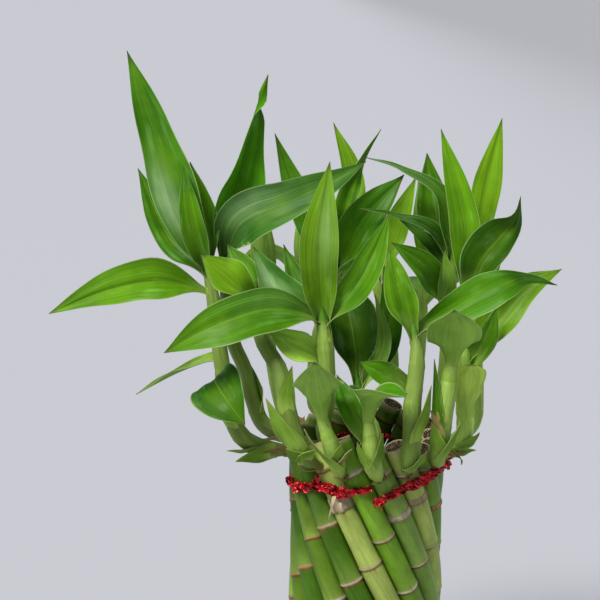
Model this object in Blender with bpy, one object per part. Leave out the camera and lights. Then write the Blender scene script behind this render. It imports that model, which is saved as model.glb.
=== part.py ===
"""Lucky bamboo: a ring of leaning canes, tied with red foil, in a bowl of pebbles.

Sizes in the constants and lists are millimetres; the meshes are built in metres.
The bowl stands on z = 0 with its centre on the z axis, and the front is towards -Y.
"""
import math
import random

import bmesh
import bpy
from mathutils import Vector

MM = 0.001
GAP = 0.3
CURVE_DETAIL = 12

# Canes
CANE_COUNT = 16
CANE_SIDES = 7
RING_RADIUS = 30.4
WAIST_DEPTH = 0.8
WAIST_BELOW_TIE = 27.0
WAIST_SPREAD = 20.0
CANE_RADIUS = 4.8
CANE_LEAN = math.radians(25.0)
CANE_FOOT = 9.0
CANE_TOPS_ABOVE_TIE = (22, 21, 19.5, 15, 13, 12, 13, 12.5, 15, 14, 13, 14, 15, 14, 16, 19)
FRONT_CANE = math.radians(-6.5)
NODE_RIDGE = 0.25
NODE_STEP = 0.1
NODE_COLLAR = 1.6
NODE_SPACING = 25.5
NODE_SPREAD = 0.1
LOWEST_NODE = 15.0
FIRST_NODE_DROPS = (22, 11, 6, 12, 17, 9, 20, 14, 7, 18, 12, 21, 14, 26, 18, 8)
CANE_SEED = 11

# Tie
TIE_HEIGHT = 165.0
TIE_BACK_RISE = 8.0
TIE_THICKNESS = 2.6
TIE_DEPTH = 4.2
TIE_WOBBLE = 0.6
TIE_STEPS_PER_CANE = 3
TIE_SECTION = ((0.0, -0.4), (0.0, 0.4), (0.55, 0.5), (1.0, 0.15), (1.0, -0.15), (0.55, -0.5))
TIE_SEED = 7

# Shoots
ROOT_ABOVE_TIE = 8.0
ROOT_LENGTH = 3.4
ROOT_SHARES = (0.65, 0.8)
TIP_SHARE = 0.6
STEM_SIDES = 6
STEM_PLACES = 40
BLADE_THICKNESS = 0.7
BLADE_HALF_TIP = 0.45

# Bowl and pebbles
BOWL_RADIUS = 65.0
BOWL_HEIGHT = 60.0
BOWL_WALL = 4.0
BOWL_FLOOR = 6.0
BOWL_FOOT_RADIUS = 40.0
BOWL_SWELL = 0.8
BOWL_SHARES = (0.0, 0.12, 0.3, 0.55, 0.8, 1.0)
BOWL_STEPS = 40
BED_HEIGHT = 46.0
BED_SHARES = (0.12, 0.3, 0.55)
BED_TOP_RINGS = 7
PEBBLE_RELIEF = 3.0
PEBBLE_PITCH = 12.0
PEBBLE_ROW_PITCH = 10.4
PEBBLE_JITTER = 0.2
PEBBLE_REACH = 7.2
HOLE_HEIGHT = 76.0

# The front view in which the shoots are measured: distance, pitch and aim
SIGHT_DISTANCE = 700.0
SIGHT_PITCH = math.radians(12.0)
SIGHT_ASIDE = 30.4
SIGHT_ABOVE = 77.3


def seen(across, up, near):
    """World place of a point measured in the front view from the tie's centre."""
    forward = Vector((0.0, math.cos(SIGHT_PITCH), -math.sin(SIGHT_PITCH)))
    upward = Vector((0.0, math.sin(SIGHT_PITCH), math.cos(SIGHT_PITCH)))
    right = Vector((1.0, 0.0, 0.0))
    tie_centre = Vector((0.0, 0.0, TIE_HEIGHT))
    eye = tie_centre - forward * SIGHT_DISTANCE - right * SIGHT_ASIDE + upward * SIGHT_ABOVE
    depth = SIGHT_DISTANCE - near
    ray = forward + right * (across + SIGHT_ASIDE) / SIGHT_DISTANCE
    ray += upward * (up - SIGHT_ABOVE) / SIGHT_DISTANCE
    return eye + ray * depth


def seen_direction(across, up, near):
    """World direction of a direction given in the front view."""
    upward = Vector((0.0, math.sin(SIGHT_PITCH), math.cos(SIGHT_PITCH)))
    towards = Vector((0.0, -math.cos(SIGHT_PITCH), math.sin(SIGHT_PITCH)))
    return Vector((across, 0.0, 0.0)) + upward * up + towards * near


def smooth_curve(points, count):
    """Points at even lengths along a smooth curve through the given points."""
    ends = [points[0] * 2.0 - points[1]] + list(points) + [points[-1] * 2.0 - points[-2]]
    fine = []
    for i in range(1, len(ends) - 2):
        before, start, stop, after = ends[i - 1:i + 3]
        for step in range(CURVE_DETAIL):
            t = step / CURVE_DETAIL
            fine.append(0.5 * (2.0 * start + (stop - before) * t
                               + (2.0 * before - 5.0 * start + 4.0 * stop - after) * t * t
                               + (3.0 * start - before - 3.0 * stop + after) * t * t * t))
    fine.append(points[-1])
    lengths = [0.0]
    for i in range(1, len(fine)):
        lengths.append(lengths[-1] + (fine[i] - fine[i - 1]).length)
    result = []
    place = 0
    for k in range(count):
        goal = lengths[-1] * k / (count - 1)
        while place < len(fine) - 2 and lengths[place + 1] < goal:
            place += 1
        span = max(lengths[place + 1] - lengths[place], 1e-9)
        result.append(fine[place].lerp(fine[place + 1], (goal - lengths[place]) / span))
    return result


def tangents(path):
    """Unit directions along a path of points."""
    result = []
    for i in range(len(path)):
        ahead = path[min(i + 1, len(path) - 1)]
        behind = path[max(i - 1, 0)]
        result.append((ahead - behind).normalized())
    return result


def mesh_object(name, vertices, faces, colour):
    """A closed body in metres from vertices in millimetres, facing out."""
    mesh = bpy.data.meshes.new(name)
    mesh.from_pydata([tuple(v * MM) for v in vertices], [], faces)
    body = bmesh.new()
    body.from_mesh(mesh)
    bmesh.ops.recalc_face_normals(body, faces=body.faces)
    body.to_mesh(mesh)
    body.free()
    obj = bpy.data.objects.new(name, mesh)
    bpy.context.scene.collection.objects.link(obj)
    if colour is not None:
        mesh.materials.append(colour)
    return obj


def combine(name, first, others, operation, colour):
    """Join other bodies to the first one, or cut them out of it, and remove them."""
    group = bpy.data.collections.new(name + "_parts")
    bpy.context.scene.collection.children.link(group)
    for obj in others:
        bpy.context.scene.collection.objects.unlink(obj)
        group.objects.link(obj)
    boolean = first.modifiers.new("combine", "BOOLEAN")
    boolean.operation = operation
    boolean.operand_type = "COLLECTION"
    boolean.collection = group
    evaluated = first.evaluated_get(bpy.context.evaluated_depsgraph_get())
    mesh = bpy.data.meshes.new_from_object(evaluated)
    mesh.name = name
    first.modifiers.clear()
    first.data = mesh
    mesh.materials.clear()
    mesh.materials.append(colour)
    for obj in list(group.objects):
        bpy.data.objects.remove(obj)
    bpy.data.collections.remove(group)
    return first


def tube(name, path, radii, sides, colour):
    """A closed tube along a path, with a radius at each point and flat ends."""
    along = tangents(path)
    side = along[0].orthogonal().normalized()
    vertices = []
    for point, direction, radius in zip(path, along, radii):
        side = (side - direction * side.dot(direction)).normalized()
        other = direction.cross(side)
        for k in range(sides):
            angle = 2.0 * math.pi * k / sides
            vertices.append(point + (side * math.cos(angle) + other * math.sin(angle)) * radius)
    faces = [tuple(range(sides))]
    for i in range(len(path) - 1):
        for k in range(sides):
            low = i * sides
            high = low + sides
            following = (k + 1) % sides
            faces.append((low + k, low + following, high + following, high + k))
    last = (len(path) - 1) * sides
    faces.append(tuple(last + k for k in range(sides)))
    return mesh_object(name, vertices, faces, colour)


def leaf_width(t, peak, root):
    """Share of a leaf's full width at t, from its root at 0 to its drawn-out tip at 1."""
    if t < peak:
        return root + (1.0 - root) * math.sin(0.5 * math.pi * t / peak) ** 1.3
    late = (t - peak) / (1.0 - peak)
    return max(math.cos(0.5 * math.pi * late), 0.0) ** 0.9 * (1.0 - 0.3 * late ** 3)


def smooth_step(value, low, high):
    """0 below low, 1 above high and a soft rise between them."""
    t = min(max((value - low) / (high - low), 0.0), 1.0)
    return t * t * (3.0 - 2.0 * t)


def blade(name, points, width, face, roll, spin, peak, root, fold, steps):
    """A thin closed leaf: a folded strip along a curve, as wide as leaf_width says."""
    path = smooth_curve(points, steps)
    along = tangents(path)
    vertices = []
    for i, (point, direction) in enumerate(zip(path, along)):
        t = i / (steps - 1)
        half = max(0.5 * width * leaf_width(t, peak, root), BLADE_HALF_TIP)
        normal = (face - direction * face.dot(direction)).normalized()
        spun = spin[2] * smooth_step(t, spin[0], spin[1])
        turn = math.radians(roll[0] + (roll[1] - roll[0]) * t + spun)
        normal = normal * math.cos(turn) + direction.cross(normal) * math.sin(turn)
        side = direction.cross(normal)
        lift = normal * half * math.tan(math.radians(fold))
        down = normal * BLADE_THICKNESS
        top = [point - side * half + lift, point, point + side * half + lift]
        vertices += top + [v - down for v in top]
    faces = [(0, 1, 4, 3), (1, 2, 5, 4)]
    for i in range(steps - 1):
        a = i * 6
        b = a + 6
        for k in (0, 1):
            faces += [(a + k, a + k + 1, b + k + 1), (a + k, b + k + 1, b + k)]
            faces += [(a + k + 3, b + k + 4, a + k + 4), (a + k + 3, b + k + 3, b + k + 4)]
        faces += [(a, b, b + 3), (a, b + 3, a + 3)]
        faces += [(a + 2, a + 5, b + 5), (a + 2, b + 5, b + 2)]
    end = (steps - 1) * 6
    faces += [(end, end + 3, end + 4, end + 1), (end + 1, end + 4, end + 5, end + 2)]
    return mesh_object(name, vertices, faces, None)


def plain_material(name, colour, roughness, metallic=0.0):
    """A plain material with the part's own colour."""
    made = bpy.data.materials.new(name)
    made.use_nodes = True
    shader = made.node_tree.nodes["Principled BSDF"]
    shader.inputs["Base Color"].default_value = (*colour, 1.0)
    shader.inputs["Roughness"].default_value = roughness
    shader.inputs["Metallic"].default_value = metallic
    return made


def cane_angle(index, height):
    """Angle of a cane round the axis at a height, 0 at the front, growing to the right."""
    turn = (TIE_HEIGHT - height) * math.tan(CANE_LEAN) / RING_RADIUS
    return FRONT_CANE + 2.0 * math.pi * index / CANE_COUNT + turn


def ring_radius(height):
    """Distance of the canes from the axis at a height: a slight waist below the tie."""
    below = (TIE_HEIGHT - height - WAIST_BELOW_TIE) / WAIST_SPREAD
    return RING_RADIUS - WAIST_DEPTH * math.exp(-below * below)


def ring_point(angle, radius, height):
    """A point round the axis."""
    return Vector((radius * math.sin(angle), -radius * math.cos(angle), height))


def cane_point(index, height):
    """Place of a cane's centre at a height."""
    return ring_point(cane_angle(index, height), ring_radius(height), height)


def tie_height(angle):
    """Height of the tie's middle, which rises towards the back."""
    return TIE_HEIGHT + TIE_BACK_RISE * (0.5 - 0.5 * math.cos(angle)) ** 2


def cane_top(index):
    """Height at which a cane is cut off."""
    return tie_height(cane_angle(index, TIE_HEIGHT)) + CANE_TOPS_ABOVE_TIE[index]


def root_height(index):
    """Height of the node at which a cane's shoot starts."""
    return tie_height(cane_angle(index, TIE_HEIGHT)) + ROOT_ABOVE_TIE


def cane_stations(index):
    """Heights and radii up a cane: at each node a ridge, and a step in below it."""
    draw = random.Random(CANE_SEED + index)
    nodes = [root_height(index)]
    height = TIE_HEIGHT - FIRST_NODE_DROPS[index]
    while height > LOWEST_NODE:
        nodes.append(height)
        height -= NODE_SPACING * draw.uniform(1.0 - NODE_SPREAD, 1.0 + NODE_SPREAD)
    stations = [(cane_top(index), CANE_RADIUS - 2.0 * NODE_STEP)]
    for height in nodes:
        stations.append((height, CANE_RADIUS + NODE_RIDGE))
        stations.append((height - NODE_COLLAR, CANE_RADIUS - NODE_STEP))
    stations.append((CANE_FOOT, CANE_RADIUS))
    return stations[::-1]


def cane(index, colour):
    """One cut cane, leaning round the ring."""
    stations = cane_stations(index)
    path = [cane_point(index, height) for height, _ in stations]
    radii = [radius for _, radius in stations]
    return tube("cane_%02d" % (index + 1), path, radii, CANE_SIDES, colour)


def root_points(index, outward, above):
    """Two points that start a shoot: on the cane's side, and straight out from it."""
    height = root_height(index) + above
    angle = cane_angle(index, height)
    away = ring_point(angle + math.radians(outward), 1.0, 0.0)
    start = cane_point(index, height) + away * (CANE_RADIUS + NODE_RIDGE + GAP)
    return [start, start + away * ROOT_LENGTH]


FRONT = (0.0, 0.25, 0.97)
UPPER = (0.0, 0.85, 0.3)
BEHIND = (0.0, 0.8, -0.6)
NO_SPIN = (0.0, 1.0, 0.0)


def leaf(points, width, face=FRONT, roll=(0, 0), spin=NO_SPIN, peak=0.42, root=0.42,
         fold=14, steps=7):
    """The description of one leaf, in the front view's millimetres."""
    return dict(points=points, width=width, face=face, roll=roll, spin=spin,
                peak=peak, root=root, fold=fold, steps=steps)


def bract(base, tip, width, face=FRONT):
    """The description of a short pointed scale at the foot of a shoot."""
    middle = tuple(0.5 * (a + b) + c for a, b, c in zip(base, tip, (0.0, 0.0, 1.0)))
    return leaf([base, middle, tip], width, face, peak=0.35, root=0.6, fold=20, steps=4)


SHOOTS = [
    dict(name="shoot_left", cane=-3, outward=0, above=0, radii=(4.4, 3.1),
         stem=[(-50, 10, 5), (-60, 19, 8), (-66, 46, 9), (-70, 76, 8), (-73, 91, 7)],
         leaves=[
             leaf([(-73, 88, 7), (-85, 116, 11), (-95, 147, 10), (-110, 192, 2)], 20.5, peak=0.38),
             leaf([(-74, 90, 10), (-80, 112, 17), (-84, 139, 16)], 11),
             leaf([(-72, 90, 5), (-75, 117, -1), (-81, 141, -5)], 13),
             leaf([(-75, 89, 5), (-91, 107, -6), (-105, 138, -12)], 14),
             leaf([(-72, 82, 9), (-96, 86, 14), (-119, 82, 18), (-146, 71, 20)], 19, peak=0.38,
                  root=0.08),
             leaf([(-69, 50, 8), (-83, 46, 2), (-92, 42, -1), (-106, 34, -4)], 9, roll=(50, 75)),
             leaf([(-64, 38, 10), (-70, 41, 26), (-64, 31, 38), (-55.7, 20, 42)], 25,
                  (-0.55, 0.6, 0.55), peak=0.5, root=0.35, fold=5),
             bract((-52, 12, 7), (-64, 8, 10), 7),
             bract((-62, 24, 10), (-69, 37, 11), 6),
         ]),
    dict(name="shoot_left_back", cane=-4, outward=0, above=0, radii=(4.0, 2.8),
         stem=[(-47, 20, -13), (-52, 31, -13), (-56, 46, -12), (-62, 62, -9), (-66, 97, -6)],
         leaves=[
             leaf([(-66, 94, -8), (-63, 118, -11), (-58.5, 132, -13), (-51, 163, -16),
                   (-45, 181, -17)], 22, roll=(12, 80), spin=(0.76, 0.95, 88), peak=0.3,
                  fold=8, steps=11),
             leaf([(-66, 94, -4), (-58, 112, 2), (-37, 122, 9), (-15, 132, 10), (0, 141, 6)],
                  23, roll=(5, -5), peak=0.32, root=0.35, steps=8),
             bract((-50, 30, -12), (-54, 48, -14), 7),
         ]),
    dict(name="shoot_front_left", cane=-1, outward=-8, above=2, radii=(4.4, 3.2),
         stem=[(-30, 8, 36), (-34, 18, 36), (-37, 31, 35), (-40, 45, 32), (-48, 60, 25),
               (-50, 78, 20)],
         leaves=[
             leaf([(-50, 75, 20), (-60, 84, 26), (-76, 98, 24)], 18),
             leaf([(-50, 76, 18), (-56, 90, 11), (-64, 103, 5)], 12),
             bract((-32, 12, 38), (-46, 32, 40), 7),
             bract((-30, 8, 38), (-37, 9, 43), 7),
             bract((-37, 30, 35), (-34, 47, 38), 5),
         ]),
    dict(name="shoot_middle", cane=-2, outward=180, above=4, radii=(3.0, 4.2),
         stem=[(-20, 17, 12), (-18, 30, 20), (-18, 44, 24), (-19, 58, 26), (-20, 70, 27)],
         leaves=[
             leaf([(-20, 66, 28), (-21, 96, 38), (-19, 122, 41), (-16.6, 141, 38)], 17),
             leaf([(-19, 67, 28), (-2, 88, 33), (11, 117, 33)], 14),
             leaf([(-22, 68, 28), (-44, 73, 38), (-70, 65, 42), (-93, 53, 40)], 21.5, peak=0.5,
                  root=0.25),
             leaf([(-22, 68, 25), (-42, 85, 25), (-52, 102, 20)], 14),
             leaf([(-19, 50, 27), (-34, 57, 31), (-45, 64, 31)], 14),
             leaf([(-20, 66, 24), (-32, 86, 12), (-38, 103, 6)], 10),
         ]),
    dict(name="shoot_front_1", cane=0, outward=-35, above=0, radii=(3.8, 3.8),
         stem=[(-14, 4, 44), (-17, 13, 47), (-20, 21, 47), (-21, 27, 48)],
         leaves=[
             leaf([(-21, 23, 48), (-23, 34, 64), (-24, 49, 84)], 23.5, (0, 1, -0.2), peak=0.31,
                  root=0.4),
             bract((-14, 3, 46), (-28.5, 18, 50), 8),
             bract((-14, 5, 48), (-11.5, 12, 52), 5),
         ]),
    dict(name="shoot_front_2", cane=1, outward=-22, above=-1, radii=(4.0, 3.9),
         stem=[(3, 2, 48), (2, 12, 50), (1, 20, 49), (1, 26, 50)],
         leaves=[
             leaf([(1, 22, 50), (5, 32, 65), (18.5, 33, 83)], 25, (0, 1, -0.1), peak=0.38,
                  root=0.4),
             leaf([(-1, 12, 49), (-7.5, 28, 48), (-13.5, 43, 38)], 10),
             bract((3, 4, 50), (7.5, 16, 53), 5),
         ]),
    dict(name="shoot_inner", cane=1, outward=180, above=4, radii=(3.0, 2.8),
         stem=[(4, 16, 20), (0, 25, 18), (-3, 33, 15), (-4, 40, 14)],
         leaves=[
             leaf([(-4, 37, 14), (-5, 54, 12), (-8, 72, 8), (-13, 88, 4)], 24, peak=0.55,
                  root=0.25),
             leaf([(-3, 36, 16), (6, 50, 17), (8, 62, 17), (4, 80, 16)], 7),
             leaf([(-3, 38, 13), (8, 56, 8), (11, 74, 6), (8, 94, 4)], 13),
         ]),
    dict(name="shoot_front_3", cane=2, outward=-21, above=1, radii=(4.5, 3.3),
         stem=[(20.5, 3, 40), (21, 14, 41), (21.5, 30, 41), (23.5, 50, 39), (22, 63, 37)],
         leaves=[
             leaf([(21, 60, 38), (15, 82, 41), (11, 101, 40)], 14),
             leaf([(22, 61, 37), (44, 75, 38), (62, 84, 40), (75, 88, 41), (88, 84, 41)], 16,
                  spin=(0.60, 0.82, 68), steps=9),
             leaf([(19, 37, 42), (6, 44, 46), (-3, 49, 46)], 11),
             bract((21, 3, 42), (28, 8, 46), 6),
             bract((21, 15, 42), (30, 38, 43), 5),
         ]),
    dict(name="shoot_front_4", cane=3, outward=6, above=0, radii=(3.8, 3.4),
         stem=[(33, 5, 29), (34.5, 14, 31), (36, 27, 31), (38, 40, 30), (40, 51, 31)],
         leaves=[
             leaf([(40, 48, 31), (41, 59, 46), (40.5, 73, 66)], 24, (0, 1, -0.2), peak=0.45,
                  root=0.6),
             bract((33, 8, 32), (43, 21, 35), 6),
             bract((33, 9, 32), (30, 21, 35), 5),
         ]),
    dict(name="shoot_right", cane=4, outward=15, above=-1, radii=(4.2, 3.2),
         stem=[(45, 15, 10), (45, 35, 13), (44, 52, 13), (45, 70, 13), (46, 84, 12)],
         leaves=[
             leaf([(46, 80, 12), (45, 114, 16), (34.5, 156, 16)], 13.5),
             leaf([(46, 80, 13), (52, 94, 18), (60.5, 105, 21), (68.5, 114, 23),
                   (71.2, 125, 24)], 18, spin=(0.6, 0.95, 60), peak=0.40, steps=9),
             leaf([(46, 80, 10), (56, 90, 6), (63, 97, 4)], 9),
             leaf([(45, 50, 12), (57, 65, 11), (72, 82, 10), (90, 91.5, 10)], 17),
             leaf([(46, 46, 14), (55, 60, 18), (60, 74, 19)], 11, roll=(0, 20)),
             leaf([(45.5, 28, 14), (47, 38, 20), (48.5, 48, 25)], 17, (0, 1, -0.2), peak=0.75,
                  root=0.5, steps=5),
             bract((45, 12, 12), (53, 17, 15), 6),
             bract((43, 9, 11), (50.5, 8.5, 14), 6),
         ]),
    dict(name="shoot_right_back", cane=5, outward=0, above=-2, radii=(3.4, 2.8),
         stem=[(49, 20, -8), (51, 36, -8), (50, 58, -8), (50, 80, -9), (51, 100, -9)],
         leaves=[
             leaf([(51, 97, -9), (54, 122, -10), (62.6, 161, -12)], 13),
             leaf([(51, 88, -12), (58, 104, -30), (60, 98, -52)], 14, BEHIND),
         ]),
    dict(name="shoot_back_right", cane=6, outward=0, above=0, radii=(3.4, 2.8),
         stem=[(33, 24, -28), (36, 44, -22), (38, 72, -12), (40, 98, -7)],
         leaves=[
             leaf([(40, 94, -5), (34, 125, 0), (15, 138, 2), (0, 143, 2)], 13, roll=(10, 65)),
             leaf([(40, 94, -8), (32, 119, -16), (28, 145, -20)], 17),
             leaf([(39, 92, -5), (30, 110, 0), (14, 116, 6), (-3, 119.5, 9)], 9,
                  roll=(30, 50)),
             leaf([(38, 86, -6), (33, 99, -8), (25, 108, -8), (13, 117, -7)], 8),
             leaf([(38, 72, -8), (37, 86, 0), (36, 100, 2)], 9),
             leaf([(38, 76, -9), (28, 92, 4), (11.5, 104, 8)], 14),
             leaf([(38, 80, -12), (26, 105, -20), (24, 133, -24)], 8),
         ]),
    dict(name="shoot_back_left", cane=-6, outward=0, above=0, radii=(3.4, 2.8),
         stem=[(-24, 30, -34), (-23, 56, -24), (-17, 78, -14), (-14, 92, -9)],
         leaves=[
             leaf([(-15, 88, -10), (-30, 122, -18), (-42, 154, -24)], 13),
             leaf([(-13, 90, -11), (-6, 130, -17), (-15, 159, -22)], 12),
             leaf([(-14, 88, -8), (-9, 122, -7), (-1, 143, -8), (7, 156, -8)], 10,
                  spin=(0.45, 0.75, 65)),
             leaf([(-13, 86, -6), (-2, 113, -1), (17.5, 135, 0)], 19),
             leaf([(-13, 82, -6), (-4, 92, 2), (4, 101, 4)], 12),
         ]),
    dict(name="shoot_rear_1", cane=7, outward=0, above=0, radii=(3.4, 2.8),
         stem=[(22, 30, -42), (25, 60, -44), (26, 86, -42)],
         leaves=[
             leaf([(26, 82, -42), (29, 104, -42), (30, 125, -42)], 13, BEHIND),
             leaf([(26, 82, -43), (38, 98, -60), (46, 100, -82)], 17, BEHIND),
             leaf([(26, 76, -42), (44, 90, -46), (60, 96, -52)], 14, BEHIND),
             leaf([(25, 72, -45), (20, 88, -64), (10, 84, -88)], 15, BEHIND),
         ]),
    dict(name="shoot_rear_2", cane=8, outward=0, above=0, radii=(3.4, 2.8),
         stem=[(7, 32, -46), (12, 46, -49), (10, 66, -52), (3, 92, -54)],
         leaves=[
             leaf([(3, 88, -54), (-4, 108, -58), (-12, 125, -62)], 14, BEHIND),
             leaf([(3, 88, -56), (-4, 104, -78), (-8, 98, -104)], 18, BEHIND),
             leaf([(4, 86, -54), (13, 108, -58), (23, 134, -60)], 13),
             leaf([(10, 66, -54), (14, 76, -74), (22, 62, -94)], 14, BEHIND),
         ]),
    dict(name="shoot_rear_3", cane=-7, outward=0, above=0, radii=(3.4, 2.8),
         stem=[(-14, 32, -46), (-20, 60, -50), (-23, 84, -51)],
         leaves=[
             leaf([(-23, 80, -52), (-42, 98, -64), (-60, 94, -80)], 17, BEHIND),
             leaf([(-23, 80, -50), (-28, 104, -54), (-30, 122, -60)], 13, BEHIND),
             leaf([(-22, 74, -53), (-28, 86, -76), (-32, 74, -98)], 15, BEHIND),
         ]),
    dict(name="shoot_rear_4", cane=-5, outward=0, above=0, radii=(3.4, 2.8),
         stem=[(-38, 26, -32), (-44, 54, -34), (-46, 82, -33)],
         leaves=[
             leaf([(-46, 78, -34), (-58, 94, -52), (-72, 88, -76)], 16, BEHIND),
             leaf([(-46, 78, -32), (-48, 104, -34), (-46, 124, -36)], 12, BEHIND),
             leaf([(-45, 64, -36), (-54, 76, -56), (-56, 64, -80)], 14, BEHIND),
         ]),
]


def shoot(plan, colour):
    """One leafy shoot: its stem, leaves and scales, fused into one body."""
    start, elbow = root_points(plan["cane"], plan["outward"], plan["above"])
    steps = 4 + len(plan["stem"])
    path = [start] + smooth_curve([elbow] + [seen(*p) for p in plan["stem"]], steps - 1)
    first, last = plan["radii"]
    radii = [first + (last - first) * i / (steps - 1) for i in range(steps)]
    radii[0] = ROOT_SHARES[0] * first
    radii[1] = ROOT_SHARES[1] * first
    radii[-1] = TIP_SHARE * last
    stem = tube(plan["name"], path, radii, STEM_SIDES, colour)
    inside = smooth_curve(path[1:], STEM_PLACES)[:-1]
    blades = []
    for number, part in enumerate(plan["leaves"]):
        points = [seen(*p) for p in part["points"]]
        points[0] = min(inside, key=lambda p: (p - points[0]).length)
        face = seen_direction(*part["face"]).normalized()
        blades.append(blade("%s_leaf_%d" % (plan["name"], number), points, part["width"],
                            face, part["roll"], part["spin"], part["peak"],
                            part["root"], part["fold"], part["steps"]))
    return combine(plan["name"], stem, blades, "UNION", colour)


def tie(colour):
    """The crinkled foil ribbon: a closed band round the canes."""
    draw = random.Random(TIE_SEED)
    steps = CANE_COUNT * TIE_STEPS_PER_CANE
    inner = RING_RADIUS + CANE_RADIUS + NODE_RIDGE + GAP
    vertices = []
    for i in range(steps):
        angle = 2.0 * math.pi * i / steps
        thick = TIE_THICKNESS * draw.uniform(0.7, 1.25)
        deep = TIE_DEPTH * draw.uniform(0.75, 1.2)
        height = tie_height(angle) + draw.uniform(-TIE_WOBBLE, TIE_WOBBLE)
        for out, up in TIE_SECTION:
            vertices.append(ring_point(angle, inner + out * thick, height + up * deep))
    count = len(TIE_SECTION)
    faces = []
    for i in range(steps):
        a = i * count
        b = ((i + 1) % steps) * count
        for k in range(count):
            following = (k + 1) % count
            faces.append((a + k, b + k, b + following, a + following))
    return mesh_object("tie", vertices, faces, colour)


def closed_rings(name, bottom, rings, top, colour):
    """A closed body of rings of points between a point below and a point above."""
    steps = len(rings[0])
    vertices = [bottom] + [point for ring in rings for point in ring] + [top]
    faces = []
    for i in range(steps):
        following = (i + 1) % steps
        faces.append((0, 1 + i, 1 + following))
        for r in range(len(rings) - 1):
            low = 1 + r * steps
            high = low + steps
            faces.append((low + i, high + i, high + following))
            faces.append((low + i, high + following, low + following))
        last = 1 + (len(rings) - 1) * steps
        faces.append((len(vertices) - 1, last + following, last + i))
    return mesh_object(name, vertices, faces, colour)


def bowl_ring(radius, height):
    """Points round the bowl's axis."""
    return [ring_point(2.0 * math.pi * i / BOWL_STEPS, radius, height)
            for i in range(BOWL_STEPS)]


def bowl_wall(share):
    """Outer radius and height of the bowl's wall at a share of its height."""
    swell = math.sin(0.5 * math.pi * share) ** BOWL_SWELL
    return BOWL_FOOT_RADIUS + (BOWL_RADIUS - BOWL_FOOT_RADIUS) * swell, BOWL_HEIGHT * share


def bowl(colour):
    """A plain round bowl with an even wall and a flat underside."""
    outer = [bowl_wall(share) for share in BOWL_SHARES]
    inner = [(r - BOWL_WALL, max(h, BOWL_FLOOR)) for r, h in reversed(outer[1:])]
    rings = [bowl_ring(radius, height) for radius, height in outer + inner]
    return closed_rings("bowl", Vector((0.0, 0.0, 0.0)), rings,
                        Vector((0.0, 0.0, BOWL_FLOOR)), colour)


def pebble_height(x, y):
    """Height of the pebbles' tops over a place: round stones in a jittered pattern."""
    nearest = PEBBLE_REACH
    row = round(y / PEBBLE_ROW_PITCH)
    for line in (row - 1, row, row + 1):
        shift = 0.5 * (line % 2)
        column = round(x / PEBBLE_PITCH - shift)
        for place in (column - 1, column, column + 1):
            draw = random.Random((line + 50) * 1000 + place + 50)
            px = (place + shift + draw.uniform(-PEBBLE_JITTER, PEBBLE_JITTER)) * PEBBLE_PITCH
            py = (line + draw.uniform(-PEBBLE_JITTER, PEBBLE_JITTER)) * PEBBLE_ROW_PITCH
            nearest = min(nearest, math.hypot(x - px, y - py))
    return BED_HEIGHT + PEBBLE_RELIEF * (1.0 - (nearest / PEBBLE_REACH) ** 2)


def hole_cutter(index):
    """The space round the foot of one cane."""
    path = [cane_point(index, h) for h, _ in cane_stations(index) if h < HOLE_HEIGHT]
    path[0] = path[0] - (path[1] - path[0]).normalized() * GAP
    wide = CANE_RADIUS + NODE_RIDGE + GAP
    return tube("hole_%d" % index, path, [wide] * len(path), CANE_SIDES, None)


def pebble_bed(colour):
    """The pebbles that fill the bowl, as one bed with a stony top and a hole for each cane."""
    floor = BOWL_FLOOR + GAP
    rings = []
    for radius, height in [bowl_wall(share) for share in BED_SHARES]:
        rings.append(bowl_ring(radius - BOWL_WALL - GAP, max(height, floor)))
    brim = bowl_wall(BED_HEIGHT / BOWL_HEIGHT)[0] - BOWL_WALL - GAP
    rings.append(bowl_ring(brim, BED_HEIGHT))
    for k in range(BED_TOP_RINGS):
        ring = bowl_ring(brim * (BED_TOP_RINGS - k) / (BED_TOP_RINGS + 1), 0.0)
        rings.append([Vector((p.x, p.y, pebble_height(p.x, p.y))) for p in ring])
    top = Vector((0.0, 0.0, pebble_height(0.0, 0.0)))
    bed = closed_rings("pebbles", Vector((0.0, 0.0, floor)), rings, top, colour)
    holes = [hole_cutter(index) for index in range(CANE_COUNT)]
    return combine("pebbles", bed, holes, "DIFFERENCE", colour)


def main():
    """Build every piece."""
    for obj in list(bpy.data.objects):
        bpy.data.objects.remove(obj, do_unlink=True)
    bowl(plain_material("glazed_white", (0.82, 0.81, 0.78), 0.15))
    pebble_bed(plain_material("pebble_grey", (0.55, 0.53, 0.49), 0.5))
    for index in range(CANE_COUNT):
        cane(index, plain_material("cane_green_%02d" % (index + 1), (0.22, 0.36, 0.06), 0.35))
    tie(plain_material("red_foil", (0.62, 0.02, 0.03), 0.3, 0.7))
    for plan in SHOOTS:
        shoot(plan, plain_material("leaf_green_" + plan["name"], (0.08, 0.22, 0.02), 0.35))


main()
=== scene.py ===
"""Lucky bamboo in a bowl of pebbles: the look of each piece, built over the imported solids.

Lengths are millimetres until a mesh is made, in the frame's axes: z up, front towards -Y.
"""

import math
import random

import bmesh
import bpy
from mathutils import Matrix, Vector, noise


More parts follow.
